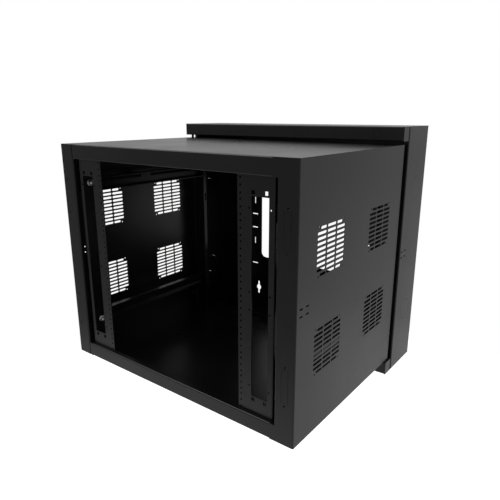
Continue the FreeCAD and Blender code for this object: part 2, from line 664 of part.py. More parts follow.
def make_side_panel(side_name, side):
    """Side panel folded into a stile, a rear flange and their lips, with its vents."""
    body = new_body("side_panel_" + side_name)
    front, back = "-total_depth", "-swing_back"
    edge = "swing_half - stile_width"
    outline = [("swing_half", back), ("swing_half", front), (edge, front),
               (edge, front + " + stile_lip"), (edge + " + sheet", front + " + stile_lip"),
               (edge + " + sheet", front + " + sheet"), ("swing_half - sheet", front + " + sheet"),
               ("swing_half - sheet", back + " - sheet"), ("rear_lip_half + sheet", back + " - sheet"),
               ("rear_lip_half + sheet", back + " - rear_lip"), ("rear_lip_half", back + " - rear_lip"),
               ("rear_lip_half", back)]
    outline = mirror_points(outline, side)
    profile = new_sketch(body, "profile", "XY_Plane", "swing_floor")
    draw_outline(profile, outline)
    shell = pad(body, "shell", profile, "swing_height")
    rounded = round_folds(body, shell, "z", [outline[i] for i in (0, 1, 2, 11)], "bend + sheet")
    round_folds(body, rounded, "z", [outline[i] for i in (5, 6, 7, 8)], "bend")

    wall = "%d * (swing_half - sheet / 2)" % side

    lacing = new_sketch(body, "lacing", "YZ_Plane", wall)
    for i in (-1, 1):
        for j in (-1, 1):
            draw_slot(lacing, "-total_depth + lacing_inset + %d * lacing_run / 2" % i,
                      "swing_middle + %d * lacing_rise / 2" % j,
                      "lacing_slot", "lacing_slot_height")
    cut(body, "lacing_slots", lacing, "4 * sheet")

    slits = new_sketch(body, "slits", "YZ_Plane", wall)
    spans = [("swing_middle + %d * tab_rise / 2" % level, "tab_height") for _, level in LEVELS]
    spans.append(("swing_middle", "tab_middle"))
    for middle, span in spans:
        for level in (-1, 1):
            draw_rectangle(slits, "-swing_back - relief_length / 2",
                           "%s + %d * (%s + relief_slit) / 2" % (middle, level, span),
                           "relief_length", "relief_slit")
    cut(body, "relief_slits", slits, "2 * relief_reach")

    lip = new_sketch(body, "rear_slots", "YZ_Plane", "%d * rear_lip_half" % side)
    for _, level in LEVELS:
        draw_slot(lip, "-swing_back - rear_lip / 2",
                  "swing_middle + %d * rear_slot_rise / 2" % level,
                  "rear_slot", "rear_slot_width", upright=True)
    cut(body, "rear_lip_slots", lip, "4 * sheet")

    stile = new_sketch(body, "stile_holes", "XZ_Plane", "total_depth")
    inset = "left_hole_inset" if side < 0 else "stile_cutout_inset"
    across = "%d * (swing_half - %s)" % (side, inset)
    for _, level in LEVELS:
        middle = "swing_middle + %d * stile_cutout_rise / 2" % level
        for step in (-1, 1):
            draw_circle(stile, across, "%s + %d * stile_hole_rise / 2" % (middle, step),
                        "stile_hole")
        if side > 0:
            draw_rectangle(stile, across, middle, "stile_cutout", "stile_cutout_height")
    cut(body, "stile_cuts", stile, "4 * sheet")

    notches = new_sketch(body, "notches", "YZ_Plane", "%d * (%s + sheet)" % (side, edge))
    for height in ("swing_floor + sheet / 2", "swing_top - sheet / 2"):
        draw_rectangle(notches, "-total_depth + (sheet + stile_lip) / 2", height,
                       "stile_lip - sheet", "sheet")
        draw_rectangle(notches, "-swing_back - (sheet + rear_lip) / 2", height,
                       "rear_lip - sheet", "sheet")
    cut(body, "lip_notches", notches, "2 * (stile_width - 2 * sheet)")
    if side > 0:
        # The rails butt flush against this stile, past its inner fold.
        corners = new_sketch(body, "corners", "XZ_Plane", "total_depth")
        for height in ("swing_floor + front_rail / 2", "swing_top - front_rail / 2"):
            draw_rectangle(corners, "%s + corner_reach / 2" % edge, height,
                           "corner_reach", "front_rail")
        cut(body, "corner_cuts", corners, "2 * (stile_lip + seam)")
    cut_vents(body, wall)
    return body


def make_swing_panel(name, level):
    """Top or bottom panel of the centre section, folded into a front rail and a rear hem."""
    body = new_body(name)
    base = "swing_top" if level > 0 else "swing_floor"

    def height(expression):
        return "%s - %d * (%s)" % (base, level, expression)

    front = "-total_depth + rail_step"
    back = "-swing_back - sheet"
    outline = [(back, height("0")), (front, height("0")), (front, height("front_rail")),
               (front + " + ledge", height("front_rail")),
               (front + " + ledge", height("front_rail - sheet")),
               (front + " + sheet", height("front_rail - sheet")),
               (front + " + sheet", height("sheet")), (back + " - sheet", height("sheet")),
               (back + " - sheet", height("rear_hem")), (back, height("rear_hem"))]
    profile = new_sketch(body, "profile", "YZ_Plane")
    draw_outline(profile, outline)
    shell = pad(body, "shell", profile, "2 * (rear_lip_half - seam)", both_ways=True)
    rounded = round_folds(body, shell, "x", [outline[i] for i in (0, 1, 2)], "bend + sheet")
    round_folds(body, rounded, "x", [outline[i] for i in (5, 6, 7)], "bend")

    rail_outline = outline[1:7] + [(front + " + sheet + bend", height("sheet")),
                                   (front + " + sheet + bend", height("0"))]
    for side_name, side in SIDES:
        tip = "panel_half" if side < 0 else "(panel_half + seam + corner_reach)"
        end = new_sketch(body, "rail_end_" + side_name, "YZ_Plane",
                         "%d * (rear_lip_half - seam + %s) / 2" % (side, tip))
        draw_outline(end, rail_outline)
        pad(body, "rail_end_pad_" + side_name, end, "%s - rear_lip_half + seam" % tip,
            both_ways=True)
    wings = new_sketch(body, "wings", "XY_Plane", height("sheet / 2"))
    wing_depth = "swing_depth - 2 * sheet - rail_step - bend"
    for _, side in SIDES:
        draw_rectangle(wings, "%d * (rear_lip_half - seam + swing_half - sheet) / 2" % side,
                       "-swing_back - sheet - bend - (%s) / 2" % wing_depth,
                       "swing_half - sheet - rear_lip_half + seam", wing_depth)
    pad(body, "wing_pads", wings, "sheet", both_ways=True)

    holes = new_sketch(body, "rod_holes", "XY_Plane", height("sheet / 2"))
    for _, side in SIDES:
        draw_circle(holes, "%d * rod_across" % side, "-rod_out",
                    "rod_size + 2 * guide_clearance")
    cut(body, "rod_cuts", holes, "4 * sheet")
    return body


def make_bracket(level_name, level, side_name, side):
    """Channel that runs front to back and carries a rail on two long slots."""
    name = "rail_bracket_%s_%s" % (level_name, side_name)
    body = new_body(name)
    middle = "(swing_middle + %d * bracket_rise / 2)" % level
    low, high = middle + " - bracket_height / 2", middle + " + bracket_height / 2"
    web, toe = "bracket_web", "rail_half"
    outline = [(web, low), (web, high), (toe, high), (toe, high + " - rail_sheet"),
               (web + " - rail_sheet", high + " - rail_sheet"),
               (web + " - rail_sheet", low + " + rail_sheet"),
               (toe, low + " + rail_sheet"), (toe, low)]
    outline = mirror_points(outline, side)
    profile = new_sketch(body, "profile", "XZ_Plane", "bracket_back")
    draw_outline(profile, outline)
    channel = pad(body, "channel", profile, "bracket_run")
    rounded = round_folds(body, channel, "y", outline[:2], "bend + rail_sheet")
    round_folds(body, rounded, "y", outline[4:6], "bend")

    tabs = new_sketch(body, "tabs", "XY_Plane", low + " + bend + rail_sheet")
    front_face, rear_face = "(total_depth - sheet)", "(swing_back + sheet)"
    draw_outline(tabs, mirror_points(
        [(web + " - rail_sheet", "-bracket_back"), (web, "-bracket_back"),
         (web, "-%s - rail_sheet" % rear_face),
         (web + " + bracket_tab", "-%s - rail_sheet" % rear_face),
         (web + " + bracket_tab", "-" + rear_face),
         (web + " - rail_sheet", "-" + rear_face)], side))
    draw_outline(tabs, mirror_points(
        [(web + " - rail_sheet", "-bracket_front"), (web + " - rail_sheet", "-" + front_face),
         (web + " + bracket_tab", "-" + front_face),
         (web + " + bracket_tab", "-%s + rail_sheet" % front_face),
         (web, "-%s + rail_sheet" % front_face), (web, "-bracket_front")], side))
    pad(body, "end_tabs", tabs, "bracket_height - 2 * bend - 2 * rail_sheet")

    slots = new_sketch(body, "slots", "YZ_Plane", "%d * (bracket_web - rail_sheet / 2)" % side)
    for run in (-1, 1):
        draw_slot(slots, "-(bracket_front + bracket_back) / 2 + %d * (slot_length + slot_bridge) / 2"
                  % run, "swing_middle + %d * bolt_rise / 2" % level,
                  "slot_length", "bolt_size + bolt_clearance")
    cut(body, "long_slots", slots, "4 * rail_sheet")
    return body


def make_rail(side_name, side):
    """Rack rail: punched front plate with a long window, folded back along its outer edge."""
    body = new_body("rack_rail_" + side_name)
    face, back = "-rail_front", "-rail_front + rail_sheet"
    outline = [("rail_inner", face), ("rail_half", face), ("rail_half", face + " + rail_return"),
               ("rail_half - rail_sheet", face + " + rail_return"),
               ("rail_half - rail_sheet", back), ("rail_inner", back)]
    outline = mirror_points(outline, side)
    profile = new_sketch(body, "profile", "XY_Plane", "rack_bottom + rail_clearance")
    draw_outline(profile, outline)
    angle = pad(body, "angle", profile, "rack_height - 2 * rail_clearance")
    rounded = round_folds(body, angle, "z", [outline[1]], "bend + rail_sheet")
    round_folds(body, rounded, "z", [outline[4]], "bend")

    window = new_sketch(body, "window", "XZ_Plane", "rail_front")
    draw_rectangle(window, "%d * (rail_inner + window_inset + window_width / 2)" % side,
                   "swing_middle", "window_width", "window_height")
    for _, level in LEVELS:
        for step in (0, 1):
            across = "%d * (rail_inner + square_inset + %d * square_gap)" % (side, step)
            draw_rectangle(window, across, "swing_middle + %d * square_rise / 2" % level,
                           "square_hole", "square_hole")
            across = "%d * (rail_inner + cord_inset + %d * cord_gap)" % (side, step)
            for rise in ("cord_near", "cord_far"):
                draw_circle(window, across, "swing_middle + %d * %s / 2" % (level, rise),
                            "cord_hole")
    cut(body, "window_and_holes", window, "4 * rail_sheet")

    unit = new_sketch(body, "unit_holes", "XZ_Plane", "rail_front")
    for step in (0, 1, 2):
        draw_circle(unit, "%d * rack_hole_gap / 2" % side,
                    "rack_bottom + unit_edge + %d * unit_step" % step, "rack_hole_size")
    first = cut(body, "rack_holes", unit, "4 * rail_sheet")
    repeat(body, first, unit, up=("unit_count", "unit_pitch"))

    bolts = new_sketch(body, "bolt_holes", "YZ_Plane", "%d * rail_half" % side)
    for _, level in LEVELS:
        draw_circle(bolts, "-total_depth + bolt_setback",
                    "swing_middle + %d * bolt_rise / 2" % level, "bolt_size + bolt_clearance")
    cut(body, "bolt_cuts", bolts, "4 * rail_sheet")
    return body


def make_rail_bolt(level_name, level, side_name, side):
    """Round-headed bolt from outside the bracket, with a nut against the rail's fold."""
    spot = ("-total_depth + bolt_setback", "swing_middle + %d * bolt_rise / 2" % level)
    tag = "%s_%s" % (level_name, side_name)
    inner = "rail_half - rail_sheet"
    tip = "(%s - nut_height - bolt_reach)" % inner

    def across(low, high):
        return "%s" % low if side > 0 else "-(%s)" % high

    head_far = "bracket_web + bolt_head_height"
    shank = primitive("Part::Cylinder", "shank_" + tag, (across(tip, "bracket_web"),) + spot,
                      Radius="bolt_size / 2", Height="bracket_web - %s" % tip)
    head = primitive("Part::Cylinder", "head_" + tag, (across("bracket_web", head_far),) + spot,
                     Radius="bolt_head / 2", Height="bolt_head_height")
    name = "rail_bolt_" + tag
    finish(fuse(name, [turn(shank, ACROSS, 90), turn(head, ACROSS, 90)]), name)

    start = (across("%s - nut_height" % inner, inner),) + spot
    blank = hexagon("nut_blank_" + tag, "nut_flats", "nut_height", start)
    hole = primitive("Part::Cylinder", "nut_hole_" + tag, start,
                     Radius="bolt_size / 2", Height="nut_height")
    name = "rail_nut_" + tag
    finish(subtract(name, turn(blank, ACROSS, 90), turn(hole, ACROSS, 90)), name)


def make_stile_knockouts():
    """Blanking plates still in the door hardware cut-outs of the right stile."""
    for level_name, level in LEVELS:
        width = "stile_cutout - 2 * knockout_gap"
        height = "stile_cutout_height - 2 * knockout_gap"
        name = "stile_knockout_" + level_name
        plate = primitive("Part::Box", name,
                          ("swing_half - stile_cutout_inset - (%s) / 2" % width, "-total_depth",
                           "swing_middle + %d * stile_cutout_rise / 2 - (%s) / 2" % (level, height)),
                          Length=width, Width="sheet", Height=height)
        finish(plate, name)


# ---------------------------------------------------------------- pivot and latch rods


def rod_level(level, distance):
    """Height of a point that lies a distance inside the centre section's outer face."""
    return "swing_top - (%s)" % distance if level > 0 else "swing_floor + (%s)" % distance


def make_rod(level_name, level, side_name, side):
    """Sliding rod with its finger knob: thrown on the left, withdrawn on the right."""
    tag = "%s_%s" % (level_name, side_name)
    tip = "rod_back" if side > 0 else "rod_back - rod_throw"
    spot = ("%d * rod_across" % side, "-rod_out")
    low = rod_level(level, "%s + rod_length" % tip if level > 0 else tip)
    knob_at = rod_level(level, "%s + guide_start + guide_length / 2 + rod_throw / 2 - rod_back"
                        % tip)
    forwards = FreeCAD.Vector(1, 0, 0)
    blank = primitive("Part::Cylinder", "rod_blank_" + tag, spot + (low,),
                      Radius="rod_size / 2", Height="rod_length")
    hole = primitive("Part::Cylinder", "rod_hole_" + tag, spot + (knob_at,),
                     Radius="knob_size / 4 + 0.05", Height="rod_size")
    name = "rod_" + tag
    finish(subtract(name, blank, turn(hole, forwards, 90)), name)

    stem = primitive("Part::Cylinder", "knob_stem_" + tag, spot + (knob_at,),
                     Radius="knob_size / 4", Height="knob_length - knob_size")
    grip = primitive("Part::Cylinder", "knob_grip_" + tag,
                     (spot[0], "-rod_out - knob_length + knob_size", knob_at),
                     Radius="knob_size / 2", Height="knob_size")
    name = "knob_" + tag
    finish(fuse(name, [turn(stem, forwards, 90), turn(grip, forwards, 90)]), name)


def make_guide(level_name, level, side_name, side):
    """U-shaped guide welded to the rear flange, with two ears round the rod."""
    tag = "%s_%s" % (level_name, side_name)
    body = new_body("rod_guide_" + tag)
    plate, ears = "-swing_back - sheet", "-swing_back - sheet - guide_depth"
    near, far = "guide_start", "guide_start + guide_length"
    outline = [(plate, near), (ears, near), (ears, near + " + guide_sheet"),
               (plate + " - guide_sheet", near + " + guide_sheet"),
               (plate + " - guide_sheet", far + " - guide_sheet"),
               (ears, far + " - guide_sheet"), (ears, far), (plate, far)]
    outline = [(u, rod_level(level, v)) for u, v in outline]
    profile = new_sketch(body, "profile", "YZ_Plane", "%d * (rod_across - guide_shift)" % side)
    draw_outline(profile, outline)
    pad(body, "folded", profile, "guide_width", both_ways=True)
    holes = new_sketch(body, "ear_holes", "XY_Plane",
                       rod_level(level, "guide_start + guide_length / 2"))
    draw_circle(holes, "%d * rod_across" % side, "-rod_out", "rod_size + 2 * guide_clearance")
    cut(body, "ear_cuts", holes, "guide_length * 1.2")


def make_washers():
    """Thrust washers that the centre section rests on."""
    for side_name, side in SIDES:
        name = "thrust_washer_" + side_name
        spot = ("%d * rod_across" % side, "-rod_out", "bar_height")
        disc = primitive("Part::Cylinder", name + "_disc", spot,
                         Radius="washer_size / 2", Height="swing_lift")
        hole = primitive("Part::Cylinder", name + "_hole", spot,
                         Radius="rod_size / 2 + guide_clearance", Height="swing_lift")
        finish(subtract(name, disc, hole), name)


make_back_pan()
make_pan_panel("pan_top", 1)
make_pan_panel("pan_bottom", -1)
make_knockouts()
make_bushes()
make_ground_stud()
make_swing_panel("top_panel", 1)
make_swing_panel("bottom_panel", -1)
for side_name, side in SIDES:
    make_side_panel(side_name, side)
    make_rail(side_name, side)
    for level_name, level in LEVELS:
        make_bracket(level_name, level, side_name, side)
        make_rail_bolt(level_name, level, side_name, side)
        make_guide(level_name, level, side_name, side)
        make_rod(level_name, level, side_name, side)
make_stile_knockouts()
make_washers()
doc.recompute()

# ---------------------------------------------------------------- checks and export

for item in doc.Objects:
    if "Invalid" in item.State or "Error" in item.State:
        raise RuntimeError("%s failed: %s" % (item.Name, item.State))
for node in nodes:
    if node.Shape.isNull() or not node.Shape.isValid():
        raise RuntimeError("bad shape: " + node.Label)

os.makedirs("parts", exist_ok=True)
for node in nodes:
    node.Shape.exportStep("parts/%s.step" % node.Label)
print("%d nodes" % len(nodes))
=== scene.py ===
import json
import math

import bmesh
import bpy
import numpy as np
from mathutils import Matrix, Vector


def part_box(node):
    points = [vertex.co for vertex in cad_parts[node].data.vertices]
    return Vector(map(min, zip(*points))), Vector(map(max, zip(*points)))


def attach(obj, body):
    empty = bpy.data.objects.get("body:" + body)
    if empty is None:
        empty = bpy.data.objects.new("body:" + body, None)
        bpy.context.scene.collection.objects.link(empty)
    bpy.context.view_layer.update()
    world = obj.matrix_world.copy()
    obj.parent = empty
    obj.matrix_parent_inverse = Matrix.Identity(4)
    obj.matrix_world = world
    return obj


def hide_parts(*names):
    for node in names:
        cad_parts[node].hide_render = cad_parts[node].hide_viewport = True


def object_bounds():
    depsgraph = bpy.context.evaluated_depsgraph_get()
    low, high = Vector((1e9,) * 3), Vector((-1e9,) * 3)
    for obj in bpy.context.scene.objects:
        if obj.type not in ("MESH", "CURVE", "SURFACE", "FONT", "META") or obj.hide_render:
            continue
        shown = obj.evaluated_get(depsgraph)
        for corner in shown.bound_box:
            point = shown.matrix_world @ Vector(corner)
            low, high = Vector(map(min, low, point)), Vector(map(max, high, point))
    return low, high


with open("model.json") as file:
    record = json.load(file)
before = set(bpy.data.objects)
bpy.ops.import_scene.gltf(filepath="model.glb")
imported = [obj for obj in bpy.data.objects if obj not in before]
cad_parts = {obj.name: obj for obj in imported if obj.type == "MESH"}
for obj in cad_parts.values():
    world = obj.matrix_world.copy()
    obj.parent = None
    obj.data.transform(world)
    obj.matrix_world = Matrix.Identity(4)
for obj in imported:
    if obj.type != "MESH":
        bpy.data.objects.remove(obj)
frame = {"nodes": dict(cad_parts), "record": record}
NODES = frame["nodes"]
CAD_BOX = [list(corner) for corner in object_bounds()]

bl_info = {
    "name": "Swing-out wall rack",
    "version": (1, 0, 0),
    "blender": (4, 5, 0),
    "location": "3D View > Sidebar > Wall Rack",
    "description": "Finishes and small parts of a swing-out wall rack for 19-inch equipment",
    "category": "Object",
}

LEVELS = ("lower", "upper")
OUTWARD = {"left": -1, "right": 1}
CORNERS = [(level, side) for level in LEVELS for side in OUTWARD]
RODS = ["rod_%s_%s" % corner for corner in CORNERS]
MM = 0.001
RACK_UNITS = 12
NO_LIMIT = 1.0  # a radius wider than any piece
CRISP_ANGLE = math.radians(38)  # edges sharper than this are shaded flat


# ------------------------------------------------------------------ sizes and colours


class RackFinishes(bpy.types.PropertyGroup):
    """Colours and surface of the coats and platings."""

    coat_colour: bpy.props.FloatVectorProperty(
        name="Coat colour", description="Black powder coat of the sheet steel",
        default=(0.0032, 0.0032, 0.0034), size=3, subtype="COLOR", min=0, max=1)
    coat_roughness: bpy.props.FloatProperty(
        name="Coat roughness", description="How far the powder coat spreads a reflection",
        default=0.3, min=0, max=1, subtype="FACTOR")
    grain_size: bpy.props.FloatProperty(
        name="Grain size", description="Distance between the bumps of the powder coat",
        default=0.0016, min=0.0002, max=0.01, unit="LENGTH")
    grain_height: bpy.props.FloatProperty(
        name="Grain height", description="Height of the bumps of the powder coat",
        default=0.00004, min=0, max=0.001, unit="LENGTH")
    zinc_colour: bpy.props.FloatVectorProperty(
        name="Zinc colour", description="Clear zinc plate of the bolts, nuts and ground stud",
        default=(0.62, 0.62, 0.6), size=3, subtype="COLOR", min=0, max=1)
    dark_zinc_colour: bpy.props.FloatVectorProperty(
        name="Black zinc colour", description="Black zinc plate of the pivot and latch rods",
        default=(0.035, 0.035, 0.037), size=3, subtype="COLOR", min=0, max=1)
    nylon_colour: bpy.props.FloatVectorProperty(
        name="Nylon colour", description="Bushes, thrust washers and knobs",
        default=(0.03, 0.03, 0.031), size=3, subtype="COLOR", min=0, max=1)
    mark_colour: bpy.props.FloatVectorProperty(
        name="Unit mark colour", description="Lines etched on the rails at each rack unit",
        default=(0.0015, 0.0015, 0.0015), size=3, subtype="COLOR", min=0, max=1)


class RackSizes(bpy.types.PropertyGroup):
    """Sizes of the small parts."""

    thread_pitch: bpy.props.FloatProperty(
        name="Thread pitch", description="Rail bolt thread", default=0.00125,
        min=0.0005, max=0.003, unit="LENGTH")
    unit_height: bpy.props.FloatProperty(
        name="Rack unit", description="Height of one rack unit", default=0.04445,
        min=0.01, max=0.1, unit="LENGTH")
    mark_length: bpy.props.FloatProperty(
        name="Unit mark length", description="Line at each rack unit, across the rail",
        default=0.0052, min=0.001, max=0.03, unit="LENGTH")
    rack_hole_radius: bpy.props.FloatProperty(
        name="Rack hole radius", description="Tapped rack hole, at the thread's root",
        default=0.00238, min=0.001, max=0.005, unit="LENGTH")
    rack_thread_pitch: bpy.props.FloatProperty(
        name="Rack thread pitch", description="Thirty-two threads to the inch",
        default=0.000794, min=0.0004, max=0.002, unit="LENGTH")
    hole_step: bpy.props.FloatProperty(
        name="Rack hole step", description="Between the holes of one unit", default=0.015875,
        min=0.005, max=0.05, unit="LENGTH")
    score_gap: bpy.props.FloatProperty(
        name="Score gap", description="Gap round a knock-out that its ties bridge",
        default=0.0005, min=0.0001, max=0.003, unit="LENGTH")
    tie_width: bpy.props.FloatProperty(
        name="Tie width", description="Steel left between a knock-out and its wall",
        default=0.0026, min=0.0005, max=0.01, unit="LENGTH")
    bead_size: bpy.props.FloatProperty(
        name="Weld bead", description="Leg of the fillet welds at the rod guides",
        default=0.00192, min=0.0005, max=0.01, unit="LENGTH")
    knob_flutes: bpy.props.IntProperty(
        name="Knob flutes", description="Grip flutes round a finger knob", default=12,
        min=3, max=40)
    floor_drop: bpy.props.FloatProperty(
        name="Floor drop", description="Height of the rack above the floor", default=0.85,
        min=0, max=3, unit="LENGTH")


# ------------------------------------------------------------------ mesh helpers


def mesh_piece(name, vertices, faces, material, smooth=True):
    """An object from corner points and faces, doubles merged and normals turned outwards."""
    mesh = bpy.data.meshes.new(name)
    mesh.from_pydata(vertices.reshape(-1, 3).tolist(), [], faces)
    work = bmesh.new()
    work.from_mesh(mesh)
    bmesh.ops.remove_doubles(work, verts=work.verts, dist=1e-7)
    bmesh.ops.dissolve_degenerate(work, edges=work.edges, dist=1e-8)
    bmesh.ops.recalc_face_normals(work, faces=work.faces)
    work.to_mesh(mesh)
    work.free()
    mesh.polygons.foreach_set("use_smooth", np.full(len(mesh.polygons), smooth))
    piece = bpy.data.objects.new(name, mesh)
    bpy.context.scene.collection.objects.link(piece)
    mesh.materials.append(material)
    return piece


def grid_faces(rows, columns):
    """Quads of a grid of points whose last column joins the first."""
    across = np.arange(columns)
    up = np.arange(rows - 1)[:, None] * columns
    after = (across + 1) % columns
    quads = np.stack([up + across, up + after, up + columns + after, up + columns + across], -1)
    return quads.reshape(-1, 4).tolist()


def turned(name, stations, radii, base, direction, material, segments, trim):
    """A solid of revolution, closed at both ends.

    Each station along the axis carries a ring of the given radius. trim, a function of the
    angle and the station, returns the largest radius allowed there: flats, flutes, threads.
    Where it sets no bound it returns NO_LIMIT.
    """
    stations, radii = np.asarray(stations, float), np.asarray(radii, float)
    angle = np.linspace(0, 2 * np.pi, segments, endpoint=False)[None, :]
    along = stations[:, None]
    radius = np.minimum(np.repeat(radii[:, None], segments, axis=1), trim(angle, along))
    axis = np.array(Vector(direction).normalized())
    first = np.array(Vector(direction).orthogonal().normalized())
    second = np.cross(axis, first)
    points = (np.array(base)[None, None, :]
              + along[..., None] * axis
              + radius[..., None] * (np.cos(angle)[..., None] * first
                                     + np.sin(angle)[..., None] * second))
    piece = mesh_piece(name, points, grid_faces(len(stations), segments), material)
    edges = piece.modifiers.new("Crisp edges", "EDGE_SPLIT")
    edges.split_angle = CRISP_ANGLE
    return piece


def thread_trim(outer, depth, pitch, start, end):
    """Largest radius of a screw thread: a V groove that climbs one pitch a turn."""
    def trim(angle, along):
        phase = (along / pitch - angle / (2 * np.pi)) % 1.0
        groove = depth * (1 - np.abs(2 * phase - 1))
        inside = (along > start) & (along < end)
        return np.where(inside, outer - groove, NO_LIMIT)
    return trim


def hexagon_trim(flats, low, high, chamfer):
    """Largest radius of a nut: six flats, and a cone that cuts the corners at each end.

    A flat stands at flats / 2 / cos(a), for a from its middle. The cone stands at flats / 2
    plus the chamfer, and widens by cone_slope times the distance from the end.
    """
    cone_slope = 1.9

    def trim(angle, along):
        sixth = np.pi / 3
        flat = flats / 2 / np.cos((angle % sixth) - sixth / 2)
        end = np.minimum(along - low, high - along)
        return np.minimum(flat, flats / 2 + np.maximum(end, 0) * cone_slope + chamfer)
    return trim


def loft(rings):
    """Corner points and faces of rings of points joined in turn and closed at both ends."""
    rings = np.asarray(rings, float)
    count, around = rings.shape[:2]
    faces = grid_faces(count, around)
    faces.append(list(range(around))[::-1])
    faces.append([(count - 1) * around + i for i in range(around)])
    return rings.reshape(-1, 3), faces


def joined(name, parts, material, smooth=True):
    """One object from several sets of corner points and faces."""
    points, faces, base = [], [], 0
    for corners, sides in parts:
        points.append(corners)
        faces += [[base + i for i in side] for side in sides]
        base += len(corners)
    return mesh_piece(name, np.concatenate(points), faces, material, smooth)


def tie(start, out, along, through, gap, width, thick):
    """Steel left between a knock-out and its wall: waisted, because the score necks it.

    out crosses the score, along follows it and through is the sheet's normal. For u from -1
    to 1 across the score, the half width is width / 2 * (0.7 + 0.3 u^2) and the half thickness
    is thick / 2 * (0.8 + 0.2 u^2). The ends reach a tenth of the gap into the steel.
    """
    start, out, along, through = (np.array(each, float) for each in (start, out, along, through))
    rings = []
    for u in np.linspace(-1, 1, 7):
        half = width / 2 * (0.7 + 0.3 * u * u)
        deep = thick / 2 * (0.8 + 0.2 * u * u)
        middle = start + out * gap * (0.5 + 0.6 * u)
        rings.append([middle + along * a * half + through * b * deep
                      for a, b in ((-1, -1), (1, -1), (1, 1), (-1, 1))])
    return loft(rings)


def weld_bead(start, end, first, second, size):
    """A fillet weld between two faces: a quarter round whose leg ripples along its run.

    leg(t) = size * (0.85 + 0.15 sin(2 pi t / (0.9 size))), full in the middle and round at
    the ends. The section runs through cos(a)^1.2 and sin(a)^1.2, times 1 + 0.1 sin(2a). first
    and second point away from the corner along the two faces.
    """
    start, end, first, second = (np.array(each, float) for each in (start, end, first, second))
    length = np.linalg.norm(end - start)
    rings_per_leg, fewest_rings, smallest_end = 7, 12, 0.02
    stations = np.linspace(0, length, max(fewest_rings, int(length / size * rings_per_leg)))
    fade = np.sqrt(np.clip(np.minimum(stations, length - stations) / size, smallest_end, 1))
    leg = size * (0.85 + 0.15 * np.sin(2 * np.pi * stations / (0.9 * size))) * fade
    turn = np.linspace(0, np.pi / 2, 6)
    bulge = 1 + 0.1 * np.sin(2 * turn)
    section = [(0.0, 0.0)] + [(math.cos(a) ** 1.2 * b, math.sin(a) ** 1.2 * b)
                              for a, b in zip(turn, bulge)]
    run = (end - start) / length
    rings = [[start + run * t + first * leg_here * u + second * leg_here * v
              for u, v in section] for t, leg_here in zip(stations, leg)]
    return loft(rings)


def ride_in_slot(piece, body):
    """The piece moves with a body."""
    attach(piece, body)


def node_middle(node):
    """Centre and half size of a node's box."""
    low, high = (Vector(corner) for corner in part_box(node))
    return (low + high) / 2, (high - low) / 2


# ------------------------------------------------------------------ materials


def new_group(name, inputs, outputs):
    """An empty shader group with float inputs (name, default) and outputs (name, type)."""
    group = bpy.data.node_groups.new(name, "ShaderNodeTree")
    for label, default in inputs:
        socket = group.interface.new_socket(label, in_out="INPUT", socket_type="NodeSocketFloat")
        socket.default_value = default
    for label, kind in outputs:
        group.interface.new_socket(label, in_out="OUTPUT", socket_type=kind)
    return group, group.nodes.new("NodeGroupInput"), group.nodes.new("NodeGroupOutput")


def powder_grain_group():
    """Orange-peel height and a slow roughness drift, as a sprayed and baked powder has."""
    group, given, made = new_group(
        "Powder grain", [("Grain scale", 600.0), ("Drift scale", 7.0)],
        [("Height", "NodeSocketFloat"), ("Drift", "NodeSocketFloat")])
    nodes, links = group.nodes, group.links
    coords = nodes.new("ShaderNodeTexCoord")
    peel = nodes.new("ShaderNodeTexNoise")
    peel.inputs["Detail"].default_value = 2.0
    peel.inputs["Roughness"].default_value = 0.55
    specks = nodes.new("ShaderNodeTexVoronoi")
    drift = nodes.new("ShaderNodeTexNoise")
    drift.inputs["Detail"].default_value = 3.0
    peel_and_specks = nodes.new("ShaderNodeMath")
    peel_and_specks.operation = "MULTIPLY_ADD"
    peel_and_specks.inputs[1].default_value = 0.35
    coarser = nodes.new("ShaderNodeMath")
    coarser.operation = "MULTIPLY"
    coarser.inputs[1].default_value = 0.6
    for pattern in (peel, specks, drift):
        links.new(coords.outputs["Object"], pattern.inputs["Vector"])
    links.new(given.outputs["Grain scale"], peel.inputs["Scale"])
    links.new(given.outputs["Grain scale"], coarser.inputs[0])
    links.new(coarser.outputs[0], specks.inputs["Scale"])
    links.new(given.outputs["Drift scale"], drift.inputs["Scale"])
    links.new(specks.outputs["Distance"], peel_and_specks.inputs[0])
    links.new(peel.outputs["Fac"], peel_and_specks.inputs[2])
    links.new(peel_and_specks.outputs[0], made.inputs["Height"])
    links.new(drift.outputs["Fac"], made.inputs["Drift"])
    return group


def brushed_lines_group():
    """Fine scratches drawn out along Z, and blotches of plating."""
    group, given, made = new_group(
        "Plating lines", [("Line scale", 900.0), ("Blotch scale", 60.0)],
        [("Height", "NodeSocketFloat"), ("Blotch", "NodeSocketFloat")])
    nodes, links = group.nodes, group.links
    coords = nodes.new("ShaderNodeTexCoord")
    stretch = nodes.new("ShaderNodeMapping")
    stretch.inputs["Scale"].default_value = (1, 1, 0.08)
    lines = nodes.new("ShaderNodeTexNoise")
    lines.inputs["Detail"].default_value = 3.0
    blotch = nodes.new("ShaderNodeTexNoise")
    blotch.inputs["Detail"].default_value = 4.0
    links.new(coords.outputs["Object"], stretch.inputs["Vector"])
    links.new(stretch.outputs["Vector"], lines.inputs["Vector"])
    links.new(coords.outputs["Object"], blotch.inputs["Vector"])
    links.new(given.outputs["Line scale"], lines.inputs["Scale"])
    links.new(given.outputs["Blotch scale"], blotch.inputs["Scale"])
    links.new(lines.outputs["Fac"], made.inputs["Height"])
    links.new(blotch.outputs["Fac"], made.inputs["Blotch"])
    return group


def new_material(name):
    """A material with its Principled shader."""
    material = bpy.data.materials.new(name)
    material.use_nodes = True
    return material, material.node_tree.nodes["Principled BSDF"]


